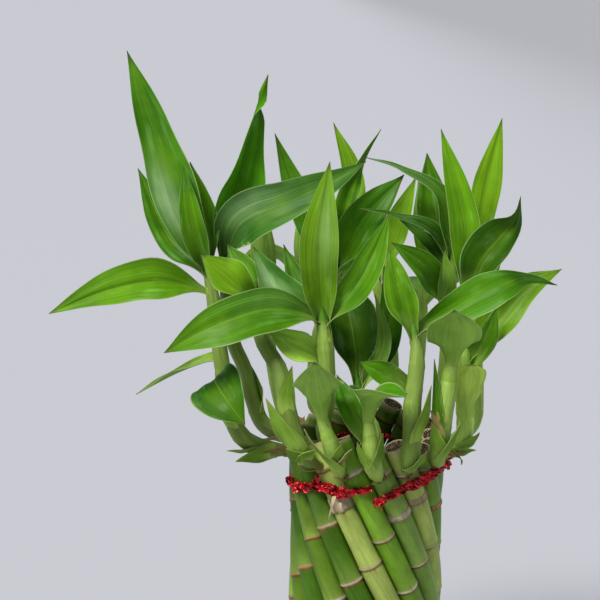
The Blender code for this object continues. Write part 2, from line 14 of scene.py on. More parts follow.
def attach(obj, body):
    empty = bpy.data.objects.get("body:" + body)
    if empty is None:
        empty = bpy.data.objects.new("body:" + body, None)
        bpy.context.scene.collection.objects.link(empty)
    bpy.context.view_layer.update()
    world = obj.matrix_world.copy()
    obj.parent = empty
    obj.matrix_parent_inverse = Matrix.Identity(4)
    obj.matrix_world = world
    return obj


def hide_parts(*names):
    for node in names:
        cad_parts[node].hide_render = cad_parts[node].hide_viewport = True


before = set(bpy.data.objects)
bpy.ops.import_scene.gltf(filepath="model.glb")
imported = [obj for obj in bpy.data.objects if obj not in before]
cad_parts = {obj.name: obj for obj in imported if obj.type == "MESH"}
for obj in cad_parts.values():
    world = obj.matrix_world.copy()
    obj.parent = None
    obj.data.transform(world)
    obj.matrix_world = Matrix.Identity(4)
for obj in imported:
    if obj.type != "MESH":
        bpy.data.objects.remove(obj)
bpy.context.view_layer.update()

MM = 0.001
CURVE_DETAIL = 12

# Canes, as in the solids
CANE_COUNT = 16
RING_RADIUS = 30.4
WAIST_DEPTH = 0.8
WAIST_BELOW_TIE = 27.0
WAIST_SPREAD = 20.0
CANE_LEAN = math.radians(25.0)
CANE_FOOT = 9.0
CANE_TOPS_ABOVE_TIE = (22, 21, 19.5, 15, 13, 12, 13, 12.5, 15, 14, 13, 14, 15, 14, 16, 19)
FRONT_CANE = math.radians(-6.5)
NODE_SPACING = 25.5
NODE_SPREAD = 0.1
LOWEST_NODE = 15.0
FIRST_NODE_DROPS = (22, 11, 6, 12, 17, 9, 20, 14, 7, 18, 12, 21, 14, 26, 18, 8)
CANE_SEED = 11
CANE_SKIN_SEED = 7 * CANE_SEED
COLLAR_SEED = 31 * CANE_SEED
RING_SEED = 100 * CANE_SEED

# The finer canes of the scene
CANE_SKIN_RADIUS = 5.25
CANE_SKIN_SIDES = 32
CANE_SKIN_STEP = 4.0
RING_MARKS = (-3.0, -2.0, -1.5, -1.1, -0.8, -0.5, -0.25, 0.0, 0.25, 0.5, 0.9, 1.6, 2.6)
COLLAR_ROWS = 7
COLLAR_THICKNESS = 0.14

# The tie's ring
TIE_HEIGHT = 165.0
TIE_BACK_RISE = 8.0
TIE_RADIUS = 36.9

# Shoots
ROOT_ABOVE_TIE = 8.0
ROOT_LENGTH = 3.4
STEM_STEPS = 56
STEM_SIDES = 36
STEM_TIP_STEPS = 3
STEM_RINGS = (0.25, 0.41, 0.56, 0.69)
SHOOT_SEED = 500
SPEAR_STEPS = 9
SPEAR_STEP = 1.0
LEAF_STEPS = 36
LEAF_COLUMNS = 11
LEAF_THICKNESS = 0.35
LEAF_RIPPLE = 0.3
LEAF_RIB = 0.22
LEAF_BULGE = 0.16
NARROW_ROOT = 0.3
WIDEST_ROOT = 0.8
SHEATH_GAP = 0.1
SHEATH_LAYER = 0.06
SHEATH_SINK = 0.55
SHEATH_WRAP = 2.3
SHEATH_UNWRAP = 0.8
SCALE_STEPS = 16
SCALE_COLUMNS = 9
SCALE_THICKNESS = 0.3
DRY_SCALES = 3

# The bowl and its bed
BOWL_RADIUS = 65.0
BOWL_HEIGHT = 60.0
BOWL_WALL = 4.0
BOWL_FLOOR = 6.0
BOWL_FOOT_RADIUS = 40.0
BOWL_SWELL = 0.8
BOWL_SIDES = 96
BOWL_ROWS = (0.02, 0.05, 0.09, 0.14, 0.2, 0.28, 0.36, 0.45, 0.54, 0.63, 0.72, 0.8, 0.87, 0.93,
             0.965)
RIM_STEPS = 6
BED_HEIGHT = 46.0
PEBBLE_PITCH = 12.0
PEBBLE_ROW_PITCH = 10.4
PEBBLE_JITTER = 0.2
PEBBLE_LINES = 8
PEBBLE_LAYERS = ((0.0, 1.0), (4.5, 0.72))
STONE_RADIUS = 6.4

# The front view: distance from the tie, pitch, aim and the picture's width in pixels
SIGHT_DISTANCE = 700.0
SIGHT_PITCH = math.radians(12.0)
SIGHT_ASIDE = 30.4
SIGHT_ABOVE = 77.3
FOCAL_PIXELS = 1522.0
PICTURE_PIXELS = 600.0
SENSOR_WIDTH = 36.0
SIGHT_FORWARD = Vector((0.0, math.cos(SIGHT_PITCH), -math.sin(SIGHT_PITCH)))
SIGHT_UPWARD = Vector((0.0, math.sin(SIGHT_PITCH), math.cos(SIGHT_PITCH)))
SIGHT_RIGHT = Vector((1.0, 0.0, 0.0))
SIGHT_EYE = (Vector((0.0, 0.0, TIE_HEIGHT)) - SIGHT_FORWARD * SIGHT_DISTANCE
             - SIGHT_RIGHT * SIGHT_ASIDE + SIGHT_UPWARD * SIGHT_ABOVE)

# Colours, linear
LEAF_TONES = {
    "mid": (0.070, 0.230, 0.0040),
    "deep": (0.042, 0.165, 0.0030),
    "leafy": (0.052, 0.200, 0.0035),
    "rich": (0.020, 0.100, 0.0015),
    "dark": (0.014, 0.072, 0.0015),
    "bright": (0.140, 0.320, 0.0060),
    "fresh": (0.110, 0.300, 0.0060),
    "vivid": (0.085, 0.360, 0.0025),
    "blue": (0.040, 0.155, 0.0160),
    "pale": (0.150, 0.290, 0.0350),
    # Painted light: a bright yellow-green for leaves that face into shade but are shown as if lit.
    "painted_lit_green": (0.600, 0.860, 0.1300),
    "bract": (0.150, 0.290, 0.0300),
    "paper": (0.330, 0.230, 0.090),
}
# Painted highlight: the pale colour of an untinted painted spot on a leaf.
PAINTED_HIGHLIGHT_TONE = (0.340, 0.540, 0.260)
# Painted highlight: the pale colour that the leaves' painted highlight patches mix towards.
PAINTED_HIGHLIGHT_PATCH_TONE = (0.330, 0.520, 0.270)
WARM_TONE = (0.230, 0.380, 0.010)
RIB_TONE = (0.220, 0.400, 0.050)
MARGIN_TONE = (0.460, 0.600, 0.260)
FLECK_TONE = (0.420, 0.580, 0.160)
# A leaf's own paler underside green, brightened with painted light as if light shone through the
# leaf.
UNDERSIDE_AND_SHINE_THROUGH_TONE = (0.350, 0.560, 0.110)
STEM_TONE = (0.320, 0.490, 0.085)
TIP_TONE = (0.060, 0.040, 0.020)
CANE_TONES = {
    "yellow": (0.420, 0.535, 0.115),
    "green": (0.170, 0.360, 0.020),
    "mid": (0.120, 0.270, 0.016),
    "dark": (0.055, 0.150, 0.006),
    "pale": (0.200, 0.350, 0.055),
    "olive": (0.100, 0.200, 0.012),
}
CANE_TINTS = ("green", "pale", "yellow", "mid", "mid", "green", "dark", "pale",
              "mid", "yellow", "green", "olive", "dark", "olive", "dark", "yellow")
STAINED_CANES = (2, 3, 6, 10, 14, 15)
RING_TONES = ((0.500, 0.400, 0.240), (0.600, 0.530, 0.400), (0.360, 0.220, 0.090),
              (0.520, 0.430, 0.290))
RING_LINE_TONE = (0.120, 0.036, 0.010)
STAIN_TONE = (0.330, 0.110, 0.012)
PITH_TONE = (0.046, 0.028, 0.014)
END_TONE = (0.500, 0.410, 0.230)
SPECK_TONE = (0.120, 0.090, 0.025)
BUNDLE_TONE = (0.560, 0.480, 0.330)
# The foil's own red, as a dark painted shade and a bright painted highlight.
FOIL_SHADE_AND_HIGHLIGHT_TONES = ((0.220, 0.002, 0.006), (0.900, 0.040, 0.050))
STONE_TONES = ((0.42, 0.40, 0.36), (0.30, 0.29, 0.27), (0.55, 0.52, 0.46), (0.36, 0.30, 0.24),
               (0.24, 0.25, 0.26), (0.60, 0.58, 0.54))
STONE_VEIN_TONE = (0.700, 0.680, 0.620)
GLAZE_TONES = ((0.800, 0.780, 0.730), (0.860, 0.850, 0.820))
IRON_TONE = (0.330, 0.260, 0.180)
BISQUE_TONES = ((0.560, 0.500, 0.410), (0.700, 0.650, 0.560))
FLOOR_TONE = (0.480, 0.490, 0.535)
SKY_TONE = (0.90, 0.92, 1.0)

# Torn sheaths left on some canes: rise above the first node, length, raggedness and colour
COLLARS = {
    1: (0.8, 3.2, 1.0, (0.600, 0.490, 0.330)),
    2: (2.0, 3.4, 1.0, (0.520, 0.400, 0.240)),
    3: (0.6, 2.4, 1.0, (0.400, 0.230, 0.110)),
    5: (1.4, 5.0, 1.0, (0.480, 0.390, 0.260)),
    8: (1.8, 4.4, 1.0, (0.560, 0.480, 0.360)),
    11: (1.0, 3.4, 1.0, (0.420, 0.300, 0.170)),
    15: (4.6, 7.6, 0.2, (0.540, 0.430, 0.270)),
}
SHRED_CANE = 15
SHREDS = (
    dict(line=((-14.6, -13, 37), (-15.8, -18, 38), (-17.4, -24, 37.5)), width=1.6),
    dict(line=((-12.0, -16, 38), (-11.6, -19, 39), (-12.6, -22, 38.5)), width=1.0),
)


# Places, curves and colours

def seen(across, up, near):
    """World place of a point measured in the front view from the tie's centre."""
    ray = SIGHT_FORWARD + SIGHT_RIGHT * (across + SIGHT_ASIDE) / SIGHT_DISTANCE
    ray += SIGHT_UPWARD * (up - SIGHT_ABOVE) / SIGHT_DISTANCE
    return SIGHT_EYE + ray * (SIGHT_DISTANCE - near)


def seen_direction(across, up, near):
    """World direction of a direction given in the front view."""
    return SIGHT_RIGHT * across + SIGHT_UPWARD * up - SIGHT_FORWARD * near


def smooth_curve(points, count):
    """Points at even lengths along a smooth curve through the given points."""
    ends = [points[0] * 2.0 - points[1]] + list(points) + [points[-1] * 2.0 - points[-2]]
    fine = []
    for i in range(1, len(ends) - 2):
        before, start, stop, after = ends[i - 1:i + 3]
        for step in range(CURVE_DETAIL):
            t = step / CURVE_DETAIL
            fine.append(0.5 * (2.0 * start + (stop - before) * t
                               + (2.0 * before - 5.0 * start + 4.0 * stop - after) * t * t
                               + (3.0 * start - before - 3.0 * stop + after) * t * t * t))
    fine.append(points[-1])
    lengths = [0.0]
    for i in range(1, len(fine)):
        lengths.append(lengths[-1] + (fine[i] - fine[i - 1]).length)
    result = []
    place = 0
    for k in range(count):
        goal = lengths[-1] * k / (count - 1)
        while place < len(fine) - 2 and lengths[place + 1] < goal:
            place += 1
        span = max(lengths[place + 1] - lengths[place], 1e-9)
        result.append(fine[place].lerp(fine[place + 1], (goal - lengths[place]) / span))
    return result


def tangents(path):
    """Unit directions along a path of points."""
    result = []
    for i in range(len(path)):
        ahead = path[min(i + 1, len(path) - 1)]
        behind = path[max(i - 1, 0)]
        result.append((ahead - behind).normalized())
    return result


def path_length(path):
    """Length of a path of points."""
    return sum((b - a).length for a, b in zip(path, path[1:]))


def smooth_step(value, low, high):
    """0 below low, 1 above high and a soft rise between them."""
    t = min(max((value - low) / (high - low), 0.0), 1.0)
    return t * t * (3.0 - 2.0 * t)


def bell(value, spread):
    """A soft bump of height 1 round zero."""
    return math.exp(-(value / spread) ** 2)


def blend_colour(a, b, share):
    """A colour between two others."""
    return tuple(x + (y - x) * share for x, y in zip(a, b))


def scale_colour(colour, amount):
    """A lighter or darker colour."""
    return tuple(x * amount for x in colour)


def arch(share):
    """0 at both ends of a share from 0 to 1, and 1 in the middle."""
    return math.sin(math.pi * min(max(share, 0.0), 1.0))


def round_turns(count):
    """Numbers and angles of points spaced evenly round a circle."""
    return [(k, 2.0 * math.pi * k / count) for k in range(count)]


def turned(first, second, turn):
    """A vector turned by an angle from one square direction towards another."""
    return first * math.cos(turn) + second * math.sin(turn)


def flat_to(vector, axis):
    """The part of a vector that is square to an axis."""
    return vector - axis * vector.dot(axis)


class Surface:
    """Points, faces, picture places and tints gathered for one mesh."""

    def __init__(self):
        self.points = []
        self.faces = []
        self.slots = []
        self.places = []
        self.tints = []

    def add_point(self, point, place, tint):
        """Adds a point with its picture place and its tint, and gives its number."""
        self.points.append(point)
        self.places.append(place)
        self.tints.append(tint)
        return len(self.points) - 1

    def add_face(self, corners, slot=0):
        """Adds a face between numbered points, in a material slot."""
        self.faces.append(corners)
        self.slots.append(slot)

    def skin(self, rings, slot=0, slots=None):
        """Faces between rings of (point, place, tint)."""
        first = len(self.points)
        size = len(rings[0])
        for ring in rings:
            for point, place, tint in ring:
                self.add_point(point, place, tint)
        for start in range(first, first + (len(rings) - 1) * size, size):
            for k in range(size):
                a = start + k
                b = start + (k + 1) % size
                self.add_face((a, b, b + size, a + size), slots[k] if slots else slot)
        return first

    def fan(self, first, size, centre, slot=0):
        """A cap of triangles from a ring to a centre."""
        last = self.add_point(*centre)
        for k in range(size):
            self.add_face((first + k, first + (k + 1) % size, last), slot)

    def sheet(self, rings, slots):
        """A thin closed strip. Each ring runs across its upper side and back under it."""
        first = self.skin(rings, slots=slots)
        size = len(rings[0])
        for start in (first, first + (len(rings) - 1) * size):
            for k in range(size // 2 - 1):
                low = start + size - 1 - k
                self.add_face((start + k, start + k + 1, low - 1, low))

    def piece(self, name, materials, nodes, slot, crease=50.0, smooth=True):
        """Makes the mesh object, which rides on the root and stands for the nodes."""
        mesh = bpy.data.meshes.new(name)
        mesh.from_pydata([tuple(p * MM) for p in self.points], [], self.faces)
        for each in materials:
            mesh.materials.append(each)
        mesh.polygons.foreach_set("material_index", self.slots)
        places = mesh.uv_layers.new(name="UVMap")
        for loop in mesh.loops:
            places.data[loop.index].uv = self.places[loop.vertex_index]
        tint = mesh.color_attributes.new("tint", "FLOAT_COLOR", "POINT")
        tint.data.foreach_set("color", [value for each in self.tints for value in each])
        body = bmesh.new()
        body.from_mesh(mesh)
        bmesh.ops.recalc_face_normals(body, faces=body.faces)
        body.to_mesh(mesh)
        body.free()
        if smooth:
            mesh.shade_smooth()
            mesh.set_sharp_from_angle(angle=math.radians(crease))
        obj = bpy.data.objects.new(name, mesh)
        bpy.context.scene.collection.objects.link(obj)
        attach(obj, "root")
        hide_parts(*nodes)


# Materials

def fill_socket(socket, value):
    """Sets a socket's plain value. A colour gets an opaque alpha."""
    socket.default_value = (*value, 1.0) if socket.type == "RGBA" else value


class Shade:
    """A node material with short calls for the nodes that it needs."""

    def __init__(self, name, **values):
        self.material = bpy.data.materials.new(name)
        self.material.use_nodes = True
        self.tree = self.material.node_tree
        self.shader = self.tree.nodes["Principled BSDF"]
        for key, value in values.items():
            fill_socket(self.shader.inputs[key.replace("_", " ")], value)

    def node(self, kind, inputs, **settings):
        """Adds a node, with sockets linked and plain values set."""
        made = self.tree.nodes.new("ShaderNode" + kind)
        for key, value in settings.items():
            setattr(made, key, value)
        for key, value in inputs.items():
            if isinstance(value, bpy.types.NodeSocket):
                self.tree.links.new(value, made.inputs[key])
            else:
                fill_socket(made.inputs[key], value)
        return made

    def math(self, operation, *values):
        """One step of arithmetic on sockets or numbers."""
        return self.node("Math", dict(enumerate(values)), operation=operation).outputs[0]

    def total(self, start, *parts):
        """A number plus each part's socket times the part's amount."""
        for socket, amount in parts:
            start = self.math("ADD", start, self.math("MULTIPLY", socket, amount))
        return start

    def rise(self, value, low, high, start=0.0, stop=1.0):
        """A soft step from start to stop as a value goes from low to high."""
        inputs = {"Value": value, "From Min": low, "From Max": high,
                  "To Min": start, "To Max": stop}
        return self.node("MapRange", inputs, interpolation_type="SMOOTHSTEP").outputs[0]

    def mix(self, share, first, second):
        """A colour between two others."""
        return self.node("Mix", {0: share, 6: first, 7: second}, data_type="RGBA").outputs[2]

    def tint(self):
        """The colour and the draw that each point of the mesh holds."""
        made = self.node("Attribute", {}, attribute_name="tint")
        return made.outputs["Color"], made.outputs["Alpha"]

    def place(self):
        """The two picture places of a point."""
        uv = self.node("UVMap", {}, uv_map="UVMap").outputs[0]
        parts = self.node("SeparateXYZ", {0: uv})
        return parts.outputs[0], parts.outputs[1]

    def where(self):
        """The point's place on the object."""
        return self.node("TexCoord", {}).outputs["Object"]

    def join(self, x, y, z):
        """A vector of three values."""
        return self.node("CombineXYZ", {0: x, 1: y, 2: z}).outputs[0]

    def noise(self, vector, scale, detail=3.0, roughness=0.55):
        """Smooth random values from 0 to 1."""
        inputs = {"Vector": vector, "Scale": scale, "Detail": detail, "Roughness": roughness}
        return self.node("TexNoise", inputs).outputs[0]

    def streaks(self, across, along, detail=3.0, roughness=0.55, shift=0.0):
        """Noise with its own scale on each picture axis and its own pattern for each draw."""
        u, v = self.place()
        lane = self.total(shift, (self.tint()[1], 50.0))
        stretched = self.join(self.math("MULTIPLY", u, across), self.math("MULTIPLY", v, along),
                              lane)
        return self.noise(stretched, 1.0, detail, roughness)

    def cells(self, vector, scale):
        """Distances to scattered points."""
        return self.node("TexVoronoi", {"Vector": vector, "Scale": scale}).outputs[0]

    def lighten(self, colour, value):
        """A colour with its brightness multiplied by a value."""
        return self.node("HueSaturation", {"Color": colour, "Value": value}).outputs[0]

    def finish(self, colour, roughness, height=None, depth=0.0, strength=0.0):
        """Links the colour, roughness and relief to the shader."""
        self.tree.links.new(colour, self.shader.inputs["Base Color"])
        self.tree.links.new(roughness, self.shader.inputs["Roughness"])
        if height is not None:
            bump = self.node("Bump", {"Height": height, "Distance": depth, "Strength": strength})
            self.tree.links.new(bump.outputs[0], self.shader.inputs["Normal"])
        return self.material


# Each side's strength of painted highlight: pale patches on the upper side, none on the underside.
UPPER_SIDE = dict(gloss=0.17, coat=0.05, base=0.605, veining=0.18, banding=0.32, painted_light_share=0.42,
                  roughness=0.34)
UNDERSIDE = dict(gloss=0.12, coat=0.0, base=0.64, veining=0.12, banding=0.30, painted_light_share=0.0,
                 roughness=0.60)


def leaf_material(name, look, margins=0.55):
    """Leaf green: lengthwise veins, pale margin and rib, painted highlights, a waxy or dull finish.
    """
    shade = Shade(name, Specular_IOR_Level=look["gloss"], Specular_Tint=(0.75, 1.0, 0.45),
                  Coat_Weight=look["coat"], Coat_Roughness=0.2)
    across = shade.math("ABSOLUTE", shade.total(-1.0, (shade.place()[0], 2.0)))
    veins = shade.rise(shade.streaks(34.0, 1.6, 3.0, 0.6), 0.25, 0.75)
    bands = shade.rise(shade.streaks(7.0, 2.0), 0.3, 0.7)
    clouds = shade.rise(shade.noise(shade.where(), 60.0, 2.0), 0.3, 0.7)
    value = shade.total(look["base"], (veins, look["veining"]), (bands, look["banding"]),
                        (clouds, 0.30))
    colour = shade.lighten(shade.tint()[0], value)
    # Painted highlight: patches along the veins are lightened and mixed towards a pale blue-green.
    painted_light_share = shade.rise(shade.streaks(3.0, 4.0, 2.0, shift=7.0), 0.54, 0.72, 0.0, look["painted_light_share"])
    painted_light_share = shade.math("MULTIPLY", painted_light_share, shade.math("ADD", 0.35, veins))
    colour = shade.mix(painted_light_share, colour, shade.lighten(colour, 1.9))
    colour = shade.mix(shade.math("MULTIPLY", painted_light_share, 0.35), colour, PAINTED_HIGHLIGHT_PATCH_TONE)
    warm = shade.math("MULTIPLY", clouds, shade.rise(across, 0.1, 0.9, 0.20, 0.06))
    colour = shade.mix(warm, colour, WARM_TONE)
    colour = shade.mix(shade.rise(across, 0.0, 0.05, 0.35, 0.0), colour, RIB_TONE)
    colour = shade.mix(shade.rise(across, 0.95, 0.985, 0.0, margins), colour, MARGIN_TONE)
    flecks = shade.streaks(16.0, 9.0, 4.0, 0.7)
    colour = shade.mix(shade.rise(flecks, 0.68, 0.74, 0.0, 0.6), colour, FLECK_TONE)
    rough = shade.total(look["roughness"], (bands, 0.16))
    height = shade.math("ADD", veins, shade.math("MULTIPLY", bands, 0.8))
    return shade.finish(colour, rough, height, 0.0003, 0.45)


def stem_material():
    """Stem green: a smooth pale skin with faint lengthwise lines."""
    shade = Shade("stem_skin", Specular_IOR_Level=0.3, Specular_Tint=(0.85, 1.0, 0.75))
    lines = shade.rise(shade.streaks(26.0, 0.08), 0.25, 0.75)
    clouds = shade.noise(shade.where(), 120.0)
    colour = shade.lighten(shade.tint()[0], shade.total(0.74, (lines, 0.28), (clouds, 0.26)))
    return shade.finish(colour, shade.total(0.38, (clouds, 0.16)), lines, 0.0003, 0.4)


def cane_material():
    """Cane skin: waxy green with fine fibres, faint blotches and small dark specks."""
    shade = Shade("cane_skin", Specular_IOR_Level=0.22, Specular_Tint=(0.85, 1.0, 0.65),
                  Coat_Weight=0.07, Coat_Roughness=0.25)
    fibres = shade.rise(shade.streaks(42.0, 0.10, 4.0, 0.65), 0.25, 0.75)
    blotches = shade.rise(shade.streaks(4.0, 0.09), 0.3, 0.7)
    specks = shade.cells(shade.where(), 230.0)
    colour = shade.lighten(shade.tint()[0], shade.total(0.74, (fibres, 0.20), (blotches, 0.32)))
    colour = shade.mix(shade.rise(specks, 0.05, 0.09, 0.45, 0.0), colour, SPECK_TONE)
    return shade.finish(colour, shade.total(0.30, (blotches, 0.24)), fibres, 0.00025, 0.5)


def pith_material():
    """The cut end of a cane: dark fibrous pith with pale bundle ends."""
    shade = Shade("cane_pith", Specular_IOR_Level=0.2)
    where = shade.where()
    bundles = shade.cells(where, 1100.0)
    clouds = shade.noise(where, 500.0, 4.0)
    colour = shade.lighten(shade.tint()[0], shade.math("ADD", 0.5, clouds))
    colour = shade.mix(shade.rise(bundles, 0.20, 0.32, 0.85, 0.0), colour, BUNDLE_TONE)
    height = shade.math("SUBTRACT", clouds, bundles)
    return shade.finish(colour, shade.total(0.75, (clouds, 0.2)), height, 0.0006, 0.8)


def paper_material(name):
    """Dry sheath: tan, papery, with torn lengthwise fibres."""
    shade = Shade(name, Specular_IOR_Level=0.2)
    fibres = shade.streaks(60.0, 0.5, 4.0, 0.7)
    clouds = shade.noise(shade.where(), 350.0, 4.0)
    colour = shade.lighten(shade.tint()[0], shade.total(0.45, (fibres, 0.7), (clouds, 0.4)))
    return shade.finish(colour, shade.total(0.65, (clouds, 0.25)), fibres, 0.0005, 0.8)


def foil_material():
    """Red metallic foil, crinkled, in soft patches of painted shade and painted highlight."""
    shade = Shade("red_foil", Metallic=0.85, Specular_IOR_Level=0.6, Coat_Weight=0.3,
                  Coat_Roughness=0.15)
    where = shade.where()
    crinkles = shade.cells(where, 700.0)
    clouds = shade.rise(shade.noise(where, 300.0, 4.0), 0.3, 0.7)
    # Painted shade and highlight: noise mixes the dark and the bright red, rougher where brighter.
    colour = shade.mix(clouds, *FOIL_SHADE_AND_HIGHLIGHT_TONES)
    return shade.finish(colour, shade.total(0.20, (clouds, 0.24)), crinkles, 0.0005, 0.7)


def stone_material():
    """River pebbles: fine grain, faint veins and a smooth, slightly damp skin."""
    shade = Shade("river_stone", Specular_IOR_Level=0.45)
    tint, draw = shade.tint()
    where = shade.where()
    grain = shade.noise(where, 1400.0, 4.0, 0.7)
    clouds = shade.noise(where, 160.0, 4.0)
    warp = shade.node("VectorMath", {0: where, 1: shade.join(draw, draw, clouds)},
                      operation="ADD").outputs[0]
    veins = shade.math("ABSOLUTE", shade.math("SUBTRACT", shade.noise(warp, 60.0, 2.0), 0.5))
    colour = shade.lighten(tint, shade.total(0.55, (grain, 0.45), (clouds, 0.45)))
    colour = shade.mix(shade.rise(veins, 0.0, 0.018, 0.45, 0.0), colour, STONE_VEIN_TONE)
    return shade.finish(colour, shade.total(0.30, (clouds, 0.35)), grain, 0.0002, 0.5)


def glaze_material():
    """White glaze: faint mottling, sparse iron specks and a soft pooled relief."""
    shade = Shade("white_glaze", Coat_Weight=0.5, Coat_Roughness=0.08, Specular_IOR_Level=0.5)
    where = shade.where()
    clouds = shade.noise(where, 45.0, 4.0)
    specks = shade.cells(where, 160.0)
    colour = shade.mix(clouds, *GLAZE_TONES)
    colour = shade.mix(shade.rise(specks, 0.06, 0.10, 0.5, 0.0), colour, IRON_TONE)
    return shade.finish(colour, shade.total(0.12, (clouds, 0.12)), clouds, 0.0008, 0.35)


def bisque_material():
    """The unglazed foot of the bowl."""
    shade = Shade("bare_foot", Specular_IOR_Level=0.2)
    grain = shade.noise(shade.where(), 900.0, 5.0, 0.7)
    colour = shade.mix(grain, *BISQUE_TONES)
    return shade.finish(colour, shade.total(0.7, (grain, 0.2)), grain, 0.0003, 0.6)


# Canes

def cane_angle(index, height):
    """Angle of a cane round the axis at a height, 0 at the front, growing to the right."""
    turn = (TIE_HEIGHT - height) * math.tan(CANE_LEAN) / RING_RADIUS
    return FRONT_CANE + 2.0 * math.pi * index / CANE_COUNT + turn


def ring_radius(height):
    """Distance of the canes from the axis at a height: a slight waist below the tie."""
    below = (TIE_HEIGHT - height - WAIST_BELOW_TIE) / WAIST_SPREAD
    return RING_RADIUS - WAIST_DEPTH * math.exp(-below * below)


def ring_point(angle, radius, height):
    """A point round the axis."""
    return Vector((radius * math.sin(angle), -radius * math.cos(angle), height))


def cane_point(index, height):
    """Place of a cane's centre at a height."""
    return ring_point(cane_angle(index, height), ring_radius(height), height)


def tie_height(angle):
    """Height of the tie's middle, which rises towards the back."""
    return TIE_HEIGHT + TIE_BACK_RISE * (0.5 - 0.5 * math.cos(angle)) ** 2


def cane_top(index):
    """Height at which a cane is cut off."""
    return tie_height(cane_angle(index, TIE_HEIGHT)) + CANE_TOPS_ABOVE_TIE[index]


def root_height(index):
    """Height of the node at which a cane's shoot starts."""
    return tie_height(cane_angle(index, TIE_HEIGHT)) + ROOT_ABOVE_TIE


def cane_nodes(index):
    """Heights of a cane's rings, from the top down."""
    draw = random.Random(CANE_SEED + index)
    nodes = [root_height(index)]
    height = TIE_HEIGHT - FIRST_NODE_DROPS[index]
    while height > LOWEST_NODE:
        nodes.append(height)
        height -= NODE_SPACING * draw.uniform(1.0 - NODE_SPREAD, 1.0 + NODE_SPREAD)
    return nodes


def cane_frame(index, height):
    """Centre, direction, outward side and other side of a cane at a height."""
    centre = cane_point(index, height)
    direction = (cane_point(index, height + 1.0) - cane_point(index, height - 1.0)).normalized()
    outward = flat_to(ring_point(cane_angle(index, height), 1.0, 0.0), direction).normalized()
    return centre, direction, outward, direction.cross(outward)


def cane_marks(nodes, top):
    """Heights at which a cane's skin is built: close together round each ring."""
    marks = {CANE_FOOT, top}
    height = CANE_FOOT
    while height < top - 1.0:
        marks.add(round(height, 2))
        height += CANE_SKIN_STEP
    for node in nodes:
        for step in RING_MARKS:
            if CANE_FOOT < node + step < top:
                marks.add(round(node + step, 2))
    return sorted(marks)


def cane_rings(index, nodes):
    """How each ring looks: its height, half height, tone and the strength of its line."""
    rings = []
    for number, node in enumerate(nodes):
        draw = random.Random(RING_SEED + 20 * index + number)
        rings.append((node, draw.uniform(0.28, 0.62), draw.choice(RING_TONES),
                      draw.uniform(0.7, 1.0)))
    return rings


def cane_tint(index, rings, height, turn):
    """Colour of a cane's skin: its own green, dry rings with a brown line, stains and painted
    shade.
    """
    main = CANE_TONES[CANE_TINTS[index]]
    aside = Vector((math.cos(turn), math.sin(turn), 0.0))
    wander = noise.noise(aside + Vector((0.0, 0.0, height * 0.03 + index * 9.0)))
    colour = scale_colour(main, 1.0 + 0.25 * wander)
    reach = min((ring[0] - height for ring in rings if ring[0] >= height), default=20.0)
    colour = blend_colour(colour, scale_colour(main, 0.66), 0.7 * math.exp(-reach / 6.0))
    since = min((height - ring[0] for ring in rings if ring[0] <= height), default=20.0)
    colour = blend_colour(colour, CANE_TONES["yellow"], 0.35 * math.exp(-since / 5.0))
    for number, (node, half, tone, line) in enumerate(rings):
        if abs(height - node) > 9.0:
            continue
        place = Vector((0.0, 0.0, number * 5.0 + index))
        wave = 0.30 * noise.noise(aside * 2.5 + place) + 0.22 * noise.noise(aside * 8.0 + place)
        rise = height - node - wave
        if index in STAINED_CANES:
            spill = noise.noise(aside * 3.0 + place)
            reach = 1.0 + 9.0 * max(spill, 0.0)
            share = smooth_step(spill, -0.1, 0.3) * smooth_step(rise, -reach, -0.4)
            colour = blend_colour(colour, STAIN_TONE, 0.8 * share * (rise < 0.0))
        colour = blend_colour(colour, RING_LINE_TONE, line * bell(rise + half + 0.3, 0.50))
        colour = blend_colour(colour, RING_LINE_TONE, 0.7 * line * bell(rise - half, 0.30))
        colour = blend_colour(colour, tone, 0.95 * bell(rise, half) ** 0.7)
    # Painted shade: the sides of the cane that face its neighbours are darkened, down to 55
    # percent.
    side = smooth_step(math.cos(turn), -0.15, 0.55)
    return scale_colour(colour, 0.55 + 0.45 * side)


def ring_swelling(rise):
    """What a ring adds to a cane's radius at a height over it: a lip, a swelling, a groove."""
    lip = 0.26 * bell(rise, 0.5)
    swelling = 0.12 * bell(rise - 1.0, 3.0)
    groove = 0.12 * bell(rise + 1.3, 0.6)
    return lip + swelling - groove


def add_cane(surface, index):
    """One cane with its rings, its cut top and its foot, which hides among the pebbles."""
    draw = random.Random(CANE_SKIN_SEED + index)
    nodes = cane_nodes(index)
    looks = cane_rings(index, nodes)
    top = cane_top(index)
    own = draw.random()
    oval = draw.uniform(0.0, 0.015)
    rings = []
    for height in cane_marks(nodes, top):
        centre, _, outward, other = cane_frame(index, height)
        radius = CANE_SKIN_RADIUS + sum(ring_swelling(height - node) for node in nodes)
        radius -= 0.25 * smooth_step(height, top - 0.6, top)
        ring = []
        for k, turn in round_turns(CANE_SKIN_SIDES):
            lump = noise.noise(Vector((math.cos(turn), math.sin(turn),
                                       height * 0.05 + index * 4.0)))
            wide = radius * (1.0 + oval * math.cos(2.0 * turn)) + 0.12 * lump
            point = centre + turned(outward, other, turn) * wide
            colour = cane_tint(index, looks, height, turn)
            colour = blend_colour(colour, END_TONE, 0.9 * smooth_step(height, top - 1.6, top - 0.3))
            ring.append((point, (k / CANE_SKIN_SIDES, height), (*colour, own)))
        rings.append(ring)
    surface.skin(rings)
    add_cane_end(surface, index, top, own)
    foot = (cane_point(index, CANE_FOOT), (0.0, 0.0), (*PITH_TONE, 0.5))
    surface.fan(0, CANE_SKIN_SIDES, foot, slot=1)


